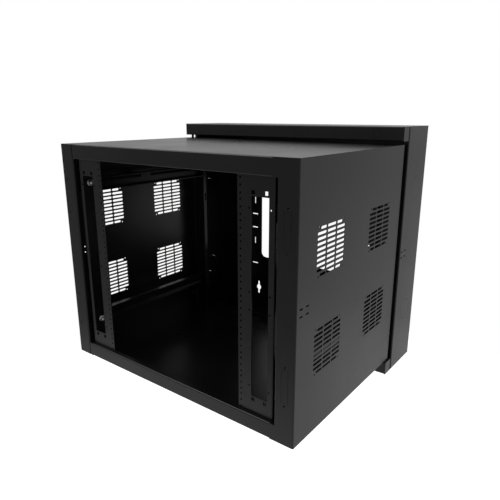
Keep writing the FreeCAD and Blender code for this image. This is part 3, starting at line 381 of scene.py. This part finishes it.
def spread(tree, source, low, high, target):
    """Send a noise to a socket, spread between two numbers; it lies mostly in 0.3 to 0.7."""
    ramp = tree.nodes.new("ShaderNodeMapRange")
    ramp.inputs["From Min"].default_value = 0.3
    ramp.inputs["From Max"].default_value = 0.7
    ramp.inputs["To Min"].default_value = low
    ramp.inputs["To Max"].default_value = high
    tree.links.new(source, ramp.inputs["Value"])
    tree.links.new(ramp.outputs["Result"], target)


def tint(tree, source, colour, lighter, target):
    """Mix a colour towards a lighter shade of itself by a 0 to 1 value."""
    mix = tree.nodes.new("ShaderNodeMix")
    mix.data_type = "RGBA"
    mix.inputs["A"].default_value = (*colour, 1)
    mix.inputs["B"].default_value = (*[min(1, c * lighter) for c in colour], 1)
    tree.links.new(source, mix.inputs["Factor"])
    tree.links.new(mix.outputs["Result"], target)


def add_bump(tree, height, distance, strength, shader):
    """Bump the shader's normal by a height."""
    bump = tree.nodes.new("ShaderNodeBump")
    bump.inputs["Strength"].default_value = strength
    bump.inputs["Distance"].default_value = distance
    tree.links.new(height, bump.inputs["Height"])
    tree.links.new(bump.outputs["Normal"], shader.inputs["Normal"])


def place_group(tree, name, values):
    """A shader group in a material, with the material's own values on the inputs."""
    group = tree.nodes.new("ShaderNodeGroup")
    group.node_tree = bpy.data.node_groups[name]
    for label, value in values.items():
        group.inputs[label].default_value = value
    return group


def coat_material(name, finishes, roughness, grain_scale, strength):
    """Black powder coat: dark, a dielectric sheen, orange peel."""
    material, shader = new_material(name)
    tree = material.node_tree
    grain = place_group(tree, "Powder grain", {"Grain scale": grain_scale})
    tint(tree, grain.outputs["Drift"], finishes.coat_colour, 1.5, shader.inputs["Base Color"])
    spread(tree, grain.outputs["Drift"], roughness - 0.03, roughness + 0.04,
           shader.inputs["Roughness"])
    add_bump(tree, grain.outputs["Height"], finishes.grain_height, strength, shader)
    shader.inputs["IOR"].default_value = 1.5
    return material


def plated_material(name, colour, roughness):
    """Zinc plate, clear or black: metal, fine lines and blotches."""
    material, shader = new_material(name)
    tree = material.node_tree
    lines = place_group(tree, "Plating lines", {})
    tint(tree, lines.outputs["Blotch"], colour, 1.25, shader.inputs["Base Color"])
    spread(tree, lines.outputs["Blotch"], roughness, roughness + 0.14, shader.inputs["Roughness"])
    add_bump(tree, lines.outputs["Height"], 0.01 * MM, 0.4, shader)
    shader.inputs["Metallic"].default_value = 1.0
    return material


def plastic_material(name, colour, roughness, grain_scale, ior=1.5):
    """Moulded plastic: dull, with a fine spark-eroded grain; a low ior takes off the gloss."""
    material, shader = new_material(name)
    tree = material.node_tree
    grain = place_group(tree, "Powder grain", {"Grain scale": grain_scale, "Drift scale": 90.0})
    tint(tree, grain.outputs["Drift"], colour, 1.3, shader.inputs["Base Color"])
    spread(tree, grain.outputs["Drift"], roughness - 0.04, roughness + 0.05,
           shader.inputs["Roughness"])
    add_bump(tree, grain.outputs["Height"], 0.02 * MM, 0.6, shader)
    shader.inputs["IOR"].default_value = ior
    return material


# ------------------------------------------------------------------ operators


class SWINGRACK_OT_finishes(bpy.types.Operator):
    """Coat, plate and mould every solid of the rack"""

    bl_idname = "swingrack.finishes"
    bl_label = "Finishes"

    def execute(self, context):
        finishes = context.scene.rack_finishes
        powder_grain_group()
        brushed_lines_group()
        grain = 1 / finishes.grain_size
        coats = {
            "black_powder": coat_material("Black powder coat", finishes,
                                          finishes.coat_roughness, grain, strength=0.5),
            "rail_powder": coat_material("Rail powder coat", finishes,
                                         finishes.coat_roughness - 0.02, grain * 1.2,
                                         strength=0.4),
            "zinc": plated_material("Zinc plate", finishes.zinc_colour, roughness=0.24),
            "rod": plated_material("Black zinc plate", finishes.dark_zinc_colour, roughness=0.36),
            "nylon": plastic_material("Black nylon", finishes.nylon_colour,
                                      roughness=0.45, grain_scale=1500.0),
            "knob_plastic": plastic_material("Knob plastic", finishes.nylon_colour,
                                             roughness=0.4, grain_scale=1200.0),
        }
        for entry in frame["record"]["subparts"]:
            solid = NODES[entry["node"]]
            slot = "rod" if entry["node"] in RODS else entry["material_slot"]
            for place in solid.material_slots:
                place.material = coats[slot]
        return {"FINISHED"}


class SWINGRACK_OT_knobs(bpy.types.Operator):
    """Fluted finger knobs on the four rods"""

    bl_idname = "swingrack.knobs"
    bl_label = "Finger knobs"

    def execute(self, context):
        flutes = context.scene.rack_sizes.knob_flutes
        rim_share, flute_share = 0.22, 0.06
        for corner in CORNERS:
            node = "knob_%s_%s" % corner
            middle, half = node_middle(node)
            length, grip = half.y * 2, half.x
            rear = (middle.x, middle.y + half.y, middle.z)
            start = length - 2 * grip
            bevel = np.linspace(0, np.pi / 2, 7)
            rim = rim_share * grip
            stations = np.concatenate([
                [0, 0, start, start],
                start + rim - rim * np.cos(bevel),
                length - rim + rim * np.sin(bevel), [length]])
            radii = np.concatenate([
                [0, grip / 2, grip / 2, grip - rim],
                grip - rim + rim * np.sin(bevel),
                grip - rim + rim * np.cos(bevel), [0]])

            # the grip's radius falls by flute_share * grip * (1 - cos(flutes * angle))
            def trim(angle, along, grip=grip, start=start):
                flute = flute_share * grip * (1 - np.cos(flutes * angle))
                return np.where(along > start, grip - flute, NO_LIMIT)

            piece = turned(node + "_turned", stations, radii, rear, (0, -1, 0),
                           bpy.data.materials["Knob plastic"], 96, trim)
            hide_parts(node)
            ride_in_slot(piece, "rod_%s_%s" % corner)
        return {"FINISHED"}


class SWINGRACK_OT_rail_fasteners(bpy.types.Operator):
    """Round-headed bolts and flange nuts that hold the rails to their brackets"""

    bl_idname = "swingrack.rail_fasteners"
    bl_label = "Rail bolts and nuts"

    def execute(self, context):
        zinc = bpy.data.materials["Zinc plate"]
        for level, side in CORNERS:
            self.bolt("rail_bolt_%s_%s" % (level, side), OUTWARD[side], zinc,
                      context.scene.rack_sizes.thread_pitch)
            self.nut("rail_nut_%s_%s" % (level, side), OUTWARD[side], zinc)
        return {"FINISHED"}

    def bolt(self, node, outward, zinc, pitch):
        """A threaded shank with a chamfered tip, under a domed head: radius * cos(a)^0.7."""
        middle, half = node_middle(node)
        length, head = 2 * half.x, half.y
        shank, thread_depth, tall = 4 * MM, 0.62 * MM, 4.2 * MM
        tip_length, tip_inset = 0.8 * MM, 0.9 * MM
        thread_share, ring_share = 0.55, 0.6
        tip = (middle.x - outward * half.x, middle.y, middle.z)
        steps = np.arange(0, ring_share * length, pitch / 8)
        dome = np.linspace(0, np.pi / 2, 12)
        stations = np.concatenate([
            [0, 0, tip_length], tip_length + steps, [length - tall, length - tall],
            length - tall + tall * np.sin(dome)])
        radii = np.concatenate([
            [0, shank - tip_inset, shank], np.full(len(steps), shank), [shank, head],
            head * np.cos(dome) ** 0.7])
        thread = thread_trim(shank, thread_depth, pitch, start=0.5 * MM,
                             end=thread_share * length)
        piece = turned(node + "_threaded", stations, radii, tip, (outward, 0, 0), zinc, 40, thread)
        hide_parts(node)
        ride_in_slot(piece, "swing")

    def nut(self, node, outward, zinc):
        """A bored hexagon on a round flange; its low end is far off, so no cone cuts it there."""
        middle, half = node_middle(node)
        wide, tall = 13 * MM, 2 * half.x
        bore, flange, foot, lip = 3.5 * MM, 9.0 * MM, 7.8 * MM, 1.6 * MM
        flange_edge, mouth_deep, mouth_wide = 0.9 * MM, 0.6 * MM, 0.7 * MM
        face = (middle.x + outward * half.x, middle.y, middle.z)
        hexagon = hexagon_trim(wide, low=-10 * MM, high=tall, chamfer=0.2 * MM)

        def trim(angle, along):
            return np.where(along > lip, hexagon(angle, along), NO_LIMIT)

        outer = np.linspace(lip * 1.05, tall, 9)
        stations = np.concatenate([[0, 0, flange_edge, lip], outer, [tall, tall - mouth_deep, 0]])
        radii = np.concatenate([[bore, flange, flange, foot], np.full(len(outer), wide),
                                [bore + mouth_wide, bore, bore]])
        piece = turned(node + "_flanged", stations, radii, face, (-outward, 0, 0), zinc, 96, trim)
        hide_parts(node)
        ride_in_slot(piece, "swing")


class SWINGRACK_OT_ground_stud(bpy.types.Operator):
    """Threaded ground stud and its nut"""

    bl_idname = "swingrack.ground_stud"
    bl_label = "Ground stud"

    def execute(self, context):
        zinc = bpy.data.materials["Zinc plate"]
        middle, half = node_middle("ground_stud")
        length, radius, pitch, thread_depth = 2 * half.y, half.x, 1.0 * MM, 0.5 * MM
        plain, tip_length, last_ring = 1.5 * MM, 0.8 * MM, 1 * MM
        root = (middle.x, middle.y + half.y, middle.z)
        steps = np.arange(plain, length - last_ring, pitch / 8)
        stations = np.concatenate([[0, 0, plain], steps, [length - tip_length, length, length]])
        radii = np.concatenate([[0, radius, radius], np.full(len(steps), radius),
                                [radius, radius - tip_length, 0]])
        thread = thread_trim(radius, thread_depth, pitch, start=plain, end=length)
        piece = turned("ground_stud_threaded", stations, radii, root, (0, -1, 0), zinc, 40, thread)
        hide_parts("ground_stud")
        ride_in_slot(piece, "pan")

        middle, half = node_middle("ground_nut")
        wide, tall, thread_grip = 10 * MM, 2 * half.y, 0.4 * MM
        face = (middle.x, middle.y + half.y, middle.z)
        outer = np.linspace(0, tall, 13)
        bore = radius - thread_grip
        stations = np.concatenate([[0], outer, [tall, 0]])
        radii = np.concatenate([[bore], np.full(len(outer), wide), [bore, bore]])
        piece = turned("ground_nut_chamfered", stations, radii, face, (0, -1, 0), zinc, 96,
                       hexagon_trim(wide, low=0, high=tall, chamfer=0.15 * MM))
        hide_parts("ground_nut")
        ride_in_slot(piece, "pan")
        return {"FINISHED"}


class SWINGRACK_OT_unit_marks(bpy.types.Operator):
    """Etched lines between the rack units, one beside the holes of each rail"""

    bl_idname = "swingrack.unit_marks"
    bl_label = "Rack unit marks"

    def execute(self, context):
        sizes, finishes = context.scene.rack_sizes, context.scene.rack_finishes
        etched = plastic_material("Etched unit mark", finishes.mark_colour, roughness=0.8,
                                  grain_scale=2000.0, ior=1.15)
        inset, thick, lift = 14.8 * MM, 0.5 * MM, 0.04 * MM
        for side, outward in OUTWARD.items():
            low, high = (Vector(corner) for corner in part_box("rack_rail_" + side))
            middle = (low.z + high.z) / 2
            start = (low.x if side == "right" else high.x) + outward * inset
            left, right = sorted((start, start + outward * sizes.mark_length))
            rise = (np.arange(RACK_UNITS + 1) - RACK_UNITS / 2) * sizes.unit_height + middle
            rise = np.clip(rise, low.z + thick, high.z - thick)
            corners = np.empty((len(rise), 4, 3))
            corners[:, :, 0] = [left, right, right, left]
            corners[:, :, 1] = low.y - lift
            corners[:, :, 2] = rise[:, None] + np.array([-1, -1, 1, 1]) * thick / 2
            faces = np.arange(len(rise) * 4).reshape(-1, 4).tolist()
            piece = mesh_piece("unit_marks_" + side, corners, faces, etched, smooth=False)
            ride_in_slot(piece, "swing")
        return {"FINISHED"}


class SWINGRACK_OT_rack_threads(bpy.types.Operator):
    """Threads in the tapped rack holes, three to a unit, and in the small holes by the windows

    Each is a grid of angle by depth. Its radius is the root less a V groove that climbs one
    pitch a turn and fades at both ends.
    """

    bl_idname = "swingrack.rack_threads"
    bl_label = "Rack hole threads"

    def execute(self, context):
        sizes = context.scene.rack_sizes
        root, pitch = sizes.rack_hole_radius, sizes.rack_thread_pitch
        thread_depth, first_turn, last_turn = 0.3 * MM, 0.05 * MM, 2.65 * MM
        deep = np.linspace(first_turn, last_turn, 24)
        angle = np.linspace(0, 2 * np.pi, 16, endpoint=False)
        phase = (deep[:, None] / pitch - angle[None, :] / (2 * np.pi)) % 1.0
        ends = np.clip(np.minimum(deep - deep[0], deep[-1] - deep) / pitch, 0, 1)[:, None]
        radius = root - thread_depth * (1 - np.abs(2 * phase - 1)) * ends
        faces = grid_faces(len(deep), len(angle))
        # painted shade: the threads are darker and duller than the coat, so that the holes read as
        # dark recesses
        dark = plastic_material("Tapped thread", (0.002, 0.002, 0.002), roughness=0.75,
                                grain_scale=3000.0, ior=1.2)
        for side, outward in OUTWARD.items():
            low, high = (Vector(corner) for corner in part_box("rack_rail_" + side))
            inner = high.x if side == "left" else low.x
            middle = (low.z + high.z) / 2
            parts = []
            for inset, rise, scale in self.holes(sizes):
                points = np.stack([inner + outward * inset + scale * radius * np.cos(angle),
                                   np.broadcast_to(low.y + deep[:, None], radius.shape),
                                   middle + rise + scale * radius * np.sin(angle)], -1)
                parts.append((points.reshape(-1, 3), faces))
            piece = joined("rack_threads_" + side, parts, dark)
            ride_in_slot(piece, "swing")
        return {"FINISHED"}

    def holes(self, sizes):
        """Of each hole: how far in from the rail's edge, how far up, and its share of the root."""
        rack_inset, small_hole_share = 7.55 * MM, 0.935
        small_hole_insets, small_hole_rises = (30.4 * MM, 83.6 * MM), (20 * MM, 199.7 * MM)
        spots = [(rack_inset, unit * sizes.unit_height + step * sizes.hole_step, 1.0)
                 for unit in np.arange(RACK_UNITS) - (RACK_UNITS - 1) / 2 for step in (-1, 0, 1)]
        spots += [(inset, end * rise, small_hole_share) for inset in small_hole_insets
                  for rise in small_hole_rises for end in (-1, 1)]
        return spots


class SWINGRACK_OT_knockout_ties(bpy.types.Operator):
    """Ties that hold the knock-outs in their walls until they are struck out"""

    bl_idname = "swingrack.knockout_ties"
    bl_label = "Knock-out ties"
    sheet_share = 0.8

    def execute(self, context):
        coat = bpy.data.materials["Black powder coat"]
        round_ties, stile_ties = [], []
        for kind, through, count in (("side", 0, 4), ("bar", 1, 3)):
            for corner in CORNERS:
                round_ties += self.round_ties(
                    context, kind + "_knockout_%s_%s" % corner, through, count)
        for level in LEVELS:
            stile_ties += self.long_ties(context, "stile_knockout_" + level)
        piece = joined("pan_knockout_ties", round_ties, coat)
        ride_in_slot(piece, "pan")
        piece = joined("stile_knockout_ties", stile_ties, coat)
        ride_in_slot(piece, "swing")
        return {"FINISHED"}

    def round_ties(self, context, node, through, count):
        """Ties evenly spaced round a disc whose axis is X (0) or Y (1)."""
        sizes = context.scene.rack_sizes
        middle, half = node_middle(node)
        radius, thick = half.z, 2 * self.sheet_share * half[through]
        normal = np.eye(3)[through]
        flat = np.eye(3)[1 - through]
        ties = []
        for turn in np.arange(count) * 2 * np.pi / count + np.pi / 4:
            out = flat * math.cos(turn) + np.array([0, 0, 1]) * math.sin(turn)
            ties.append(tie(np.array(middle) + out * radius, out, np.cross(normal, out), normal,
                            sizes.score_gap, sizes.tie_width, thick))
        return ties

    def long_ties(self, context, node):
        """Two ties on each long edge of a stile's blanking plate, and one on each short edge."""
        sizes = context.scene.rack_sizes
        middle, half = node_middle(node)
        thick, rise_share = 2 * self.sheet_share * half.y, 0.55
        ties = []
        for edge in (-1, 1):
            spots = [((edge, 0, rise), (edge, 0, 0), (0, 0, 1))
                     for rise in (-rise_share, rise_share)]
            spots.append(((0, 0, edge), (0, 0, edge), (1, 0, 0)))
            for spot, out, along in spots:
                start = np.array(middle) + np.array(spot) * np.array(half)
                ties.append(tie(start, out, along, (0, 1, 0), sizes.score_gap, sizes.tie_width,
                                thick))
        return ties


class SWINGRACK_OT_welds(bpy.types.Operator):
    """Fillet welds that hold the rod guides to the rear flanges"""

    bl_idname = "swingrack.welds"
    bl_label = "Welds"

    def execute(self, context):
        size = context.scene.rack_sizes.bead_size
        inset_share = 0.25
        beads = []
        for corner in CORNERS:
            low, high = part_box("rod_guide_%s_%s" % corner)
            inset = inset_share * (high[2] - low[2])
            for edge, away in ((low[0], -1), (high[0], 1)):
                beads.append(weld_bead((edge, high[1], low[2] + inset),
                                       (edge, high[1], high[2] - inset),
                                       (away, 0, 0), (0, -1, 0), size))
        piece = joined("guide_welds", beads, bpy.data.materials["Black powder coat"])
        ride_in_slot(piece, "swing")
        return {"FINISHED"}


class SWINGRACK_OT_slit_shade_fill(bpy.types.Operator):
    """Black coat set into the narrow relief slits of the rear folds: painted shade, a dark sheet
    that closes each slit so it reads dark instead of showing light through

    The outline is the bent sheet's own, a quarter circle outside and one inside, drawn in all
    round by set_back. spans holds the middle and height of the steel between each two slits.
    """

    bl_idname = "swingrack.slit_coat"
    bl_label = "Slit shade fill"

    def execute(self, context):
        sheet, slit, reach, set_back = 1.9 * MM, 0.8 * MM, 14 * MM, 0.4 * MM
        outer, inner, fill_share = 3.1 * MM, 1.2 * MM, 0.98
        spans = ((-225 * MM, 16 * MM), (0, 37 * MM), (225 * MM, 16 * MM))
        levels = [middle + end * (span + slit) / 2 for middle, span in spans for end in (-1, 1)]
        bend = np.linspace(0, np.pi / 2, 5)
        for side, outward in OUTWARD.items():
            low, high = (Vector(corner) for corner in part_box("side_panel_" + side))
            face, rear = (high.x if outward > 0 else -low.x), high.y
            far, near = ([(face - outer + radius * math.cos(a), rear - outer + radius * math.sin(a))
                          for a in turn]
                         for radius, turn in ((outer - set_back, bend),
                                              (inner + set_back, bend[::-1])))
            outline = ([(face - set_back, rear - reach)] + far
                       + [(face - reach, rear - set_back), (face - reach, rear - sheet + set_back)]
                       + near + [(face - sheet + set_back, rear - reach)])
            middle = (low.z + high.z) / 2
            parts = [loft([[(outward * u, v, middle + level + end * slit * fill_share / 2)
                            for u, v in outline] for end in (-1, 1)]) for level in levels]
            # painted shade: these sheets close the slits so that they read dark
            piece = joined("slit_shade_fill_" + side, parts, bpy.data.materials["Black powder coat"],
                           smooth=False)
            ride_in_slot(piece, "swing")
        return {"FINISHED"}


class SWINGRACK_OT_painted_joint_shade(bpy.types.Operator):
    """Painted shade in the joints between the left stile and the two front rails: a near-black,
    dull strip that darkens each seam as its shade would

    A closed profile is carried up each joint. Its face is hollow, depth plus a sine across the
    joint, its left side follows the stile's bend, a circle, and at both ends of the joint the
    face sinks with the rail's bend, by bend * (1 - cos a).
    """

    bl_idname = "swingrack.joint_sealer"
    bl_label = "Painted joint shade"

    def execute(self, context):
        bend, gap, start, back, hollow = 3.1 * MM, 1.0 * MM, 0.08 * MM, 4.0 * MM, 0.15 * MM
        rail_edge, rail_height = -328.5 * MM, 38.3 * MM
        stile_centre = rail_edge - gap - bend
        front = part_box("top_panel")[0][1]
        share = np.linspace(0, 1, 9)
        turn = np.linspace(np.pi / 3, 0, 5)

        def stile_face(sunk):
            """Where the stile's bend stands at a depth behind the front."""
            return stile_centre + np.sqrt(bend ** 2 - np.clip(bend - sunk, 0, bend) ** 2)

        parts = []
        for node in ("top_panel", "bottom_panel"):
            low, high = (corner[2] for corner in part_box(node))
            if node == "top_panel":
                low = high - rail_height
            else:
                high = low + rail_height
            levels = np.concatenate([low + bend * (1 - np.sin(turn)),
                                     high - bend * (1 - np.sin(turn[::-1]))])
            drops = np.concatenate([bend * (1 - np.cos(turn)), bend * (1 - np.cos(turn[::-1]))])
            rings = []
            for level, drop in zip(levels, drops):
                first = stile_face(start)
                across = np.maximum(first + share * (rail_edge - first), stile_face(start + drop))
                depth = start + drop + hollow * np.sin(np.pi * share)
                side = np.linspace(back, start + drop, 5)[:-1]
                rings.append([(u, front + v, level) for u, v in zip(across, depth)]
                             + [(rail_edge, front + back, level)]
                             + [(u, front + v, level) for u, v in zip(stile_face(side), side)])
            parts.append(loft(rings))
        # painted shade: near black and almost without gloss, so the seam reads as a dark line
        joint_shade_strip = plastic_material("Painted joint shade", (0.002, 0.002, 0.002), roughness=0.75,
                                  grain_scale=1200.0, ior=1.05)
        piece = joined("joint_sealer", parts, joint_shade_strip)
        ride_in_slot(piece, "swing")
        return {"FINISHED"}


class SWINGRACK_OT_stage(bpy.types.Operator):
    """Pale floor, soft studio light and the camera"""

    bl_idname = "swingrack.stage"
    bl_label = "Stage"

    def execute(self, context):
        scene = context.scene
        low = CAD_BOX[0]
        self.floor(low[2] - scene.rack_sizes.floor_drop)
        self.world(scene)
        self.lamp("Key light", place=(-2.6, -2.2, 3.4), target=(0, -0.4, 0), size=2.6, power=60)
        self.lamp("Side light", place=(3.6, 0.6, 1.2), target=(0.3, -0.4, 0), size=2.2, power=30)
        camera = bpy.data.objects.new("Camera", bpy.data.cameras.new("Camera"))
        scene.collection.objects.link(camera)
        camera.data.sensor_width = 36
        camera.data.lens = 35.26
        camera.data.clip_end = 100
        camera.location = (0.8469, -1.4308, 0.3771)
        camera.rotation_euler = (math.radians(90 - 15.42), 0, math.radians(37.42))
        scene.camera = camera
        scene.view_settings.view_transform = "Standard"
        return {"FINISHED"}

    def floor(self, height):
        """A wide pale floor, white to the camera away from the shadow."""
        reach = 2.0
        corners = np.array([[reach * a, reach * b, height]
                            for a, b in ((-1, -1), (1, -1), (1, 1), (-1, 1))])
        material, shader = new_material("Pale floor")
        tree = material.node_tree
        shader.inputs["Base Color"].default_value = (0.78, 0.78, 0.78, 1)
        shader.inputs["Roughness"].default_value = 0.9
        glow = tree.nodes.new("ShaderNodeMath")
        glow.operation = "MULTIPLY"
        glow.inputs[1].default_value = 0.68
        tree.links.new(self.seen(tree), glow.inputs[0])
        shader.inputs["Emission Color"].default_value = (1, 1, 1, 1)
        tree.links.new(glow.outputs[0], shader.inputs["Emission Strength"])
        piece = mesh_piece("floor", corners, [(0, 1, 2, 3)], material, smooth=False)

    def world(self, scene):
        """White to the camera; as a source of light, a pale ceiling over a dim horizon."""
        world = bpy.data.worlds.new("Studio")
        scene.world = world
        world.use_nodes = True
        tree = world.node_tree
        back = tree.nodes["Background"]
        back.inputs["Color"].default_value = (1, 1, 1, 1)
        coords = tree.nodes.new("ShaderNodeTexCoord")
        split = tree.nodes.new("ShaderNodeSeparateXYZ")
        tree.links.new(coords.outputs["Generated"], split.inputs["Vector"])
        height = tree.nodes.new("ShaderNodeMapRange")
        height.inputs["From Min"].default_value = -1.0
        tree.links.new(split.outputs["Z"], height.inputs["Value"])
        band = tree.nodes.new("ShaderNodeValToRGB")
        # height, with 0 straight down, 0.5 the horizon and 1 straight up, and the light there
        stops = ((0.0, 0.42), (0.29, 0.42), (0.4, 0.38), (0.47, 0.24), (0.53, 0.47), (0.6, 0.97),
                 (0.68, 0.6), (0.8, 0.45), (1.0, 1.1))
        for _ in range(len(stops) - 2):
            band.color_ramp.elements.new(0.5)
        for stop, (place, level) in zip(band.color_ramp.elements, stops):
            stop.position = place
            stop.color = (level, level, level, 1)
        tree.links.new(height.outputs["Result"], band.inputs["Fac"])
        # the room is dimmer towards the front left than towards the rear right
        facing = tree.nodes.new("ShaderNodeVectorMath")
        facing.operation = "DOT_PRODUCT"
        facing.inputs[1].default_value = (-0.62, -0.78, 0)
        tree.links.new(coords.outputs["Generated"], facing.inputs[0])
        dim = tree.nodes.new("ShaderNodeMapRange")
        dim.inputs["From Min"].default_value = -1.0
        dim.inputs["To Min"].default_value = 1.2
        dim.inputs["To Max"].default_value = 0.4
        tree.links.new(facing.outputs["Value"], dim.inputs["Value"])
        room = tree.nodes.new("ShaderNodeMath")
        room.operation = "MULTIPLY"
        tree.links.new(band.outputs["Color"], room.inputs[0])
        tree.links.new(dim.outputs["Result"], room.inputs[1])
        mix = tree.nodes.new("ShaderNodeMix")
        mix.inputs["B"].default_value = 1.0
        tree.links.new(self.seen(tree), mix.inputs["Factor"])
        tree.links.new(room.outputs[0], mix.inputs["A"])
        tree.links.new(mix.outputs["Result"], back.inputs["Strength"])

    def seen(self, tree):
        """How far a ray sees the white background: all of it straight on or through glass,
        and a share of it in a reflection, so that the black coat stays black."""
        glossy_share = 0.08
        path = tree.nodes.new("ShaderNodeLightPath")
        total = path.outputs["Is Camera Ray"]
        for kind, share in (("Is Transmission Ray", 1.0), ("Is Glossy Ray", glossy_share)):
            add = tree.nodes.new("ShaderNodeMath")
            add.operation = "MULTIPLY_ADD"
            add.use_clamp = True
            add.inputs[1].default_value = share
            tree.links.new(path.outputs[kind], add.inputs[0])
            tree.links.new(total, add.inputs[2])
            total = add.outputs[0]
        return total

    def lamp(self, name, place, target, size, power):
        """A square soft light aimed at a point."""
        light = bpy.data.lights.new(name, "AREA")
        light.size = size
        light.energy = power
        lamp = bpy.data.objects.new(name, light)
        lamp.location = place
        lamp.rotation_euler = (Vector(target) - Vector(place)).to_track_quat("-Z", "Y").to_euler()
        bpy.context.scene.collection.objects.link(lamp)


PIECES = (SWINGRACK_OT_finishes, SWINGRACK_OT_knobs, SWINGRACK_OT_rail_fasteners,
          SWINGRACK_OT_ground_stud, SWINGRACK_OT_unit_marks, SWINGRACK_OT_rack_threads,
          SWINGRACK_OT_knockout_ties, SWINGRACK_OT_welds, SWINGRACK_OT_slit_shade_fill,
          SWINGRACK_OT_painted_joint_shade, SWINGRACK_OT_stage)


class SWINGRACK_PT_panel(bpy.types.Panel):
    """Sizes, colours and pieces of the wall rack"""

    bl_idname = "SWINGRACK_PT_panel"
    bl_label = "Wall Rack"
    bl_space_type = "VIEW_3D"
    bl_region_type = "UI"
    bl_category = "Wall Rack"

    def draw(self, context):
        for group in (context.scene.rack_sizes, context.scene.rack_finishes):
            for name in group.__annotations__:
                self.layout.prop(group, name)
        for piece in PIECES:
            self.layout.operator(piece.bl_idname)


CLASSES = (RackFinishes, RackSizes, *PIECES, SWINGRACK_PT_panel)


def register():
    for each in CLASSES:
        bpy.utils.register_class(each)
    bpy.types.Scene.rack_finishes = bpy.props.PointerProperty(type=RackFinishes)
    bpy.types.Scene.rack_sizes = bpy.props.PointerProperty(type=RackSizes)


def unregister():
    del bpy.types.Scene.rack_finishes
    del bpy.types.Scene.rack_sizes
    for each in reversed(CLASSES):
        bpy.utils.unregister_class(each)


def main():
    """Register the add-on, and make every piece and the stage."""
    register()
    for piece in PIECES:
        group, name = piece.bl_idname.split(".")
        getattr(getattr(bpy.ops, group), name)()


if __name__ == "__main__":
    main()
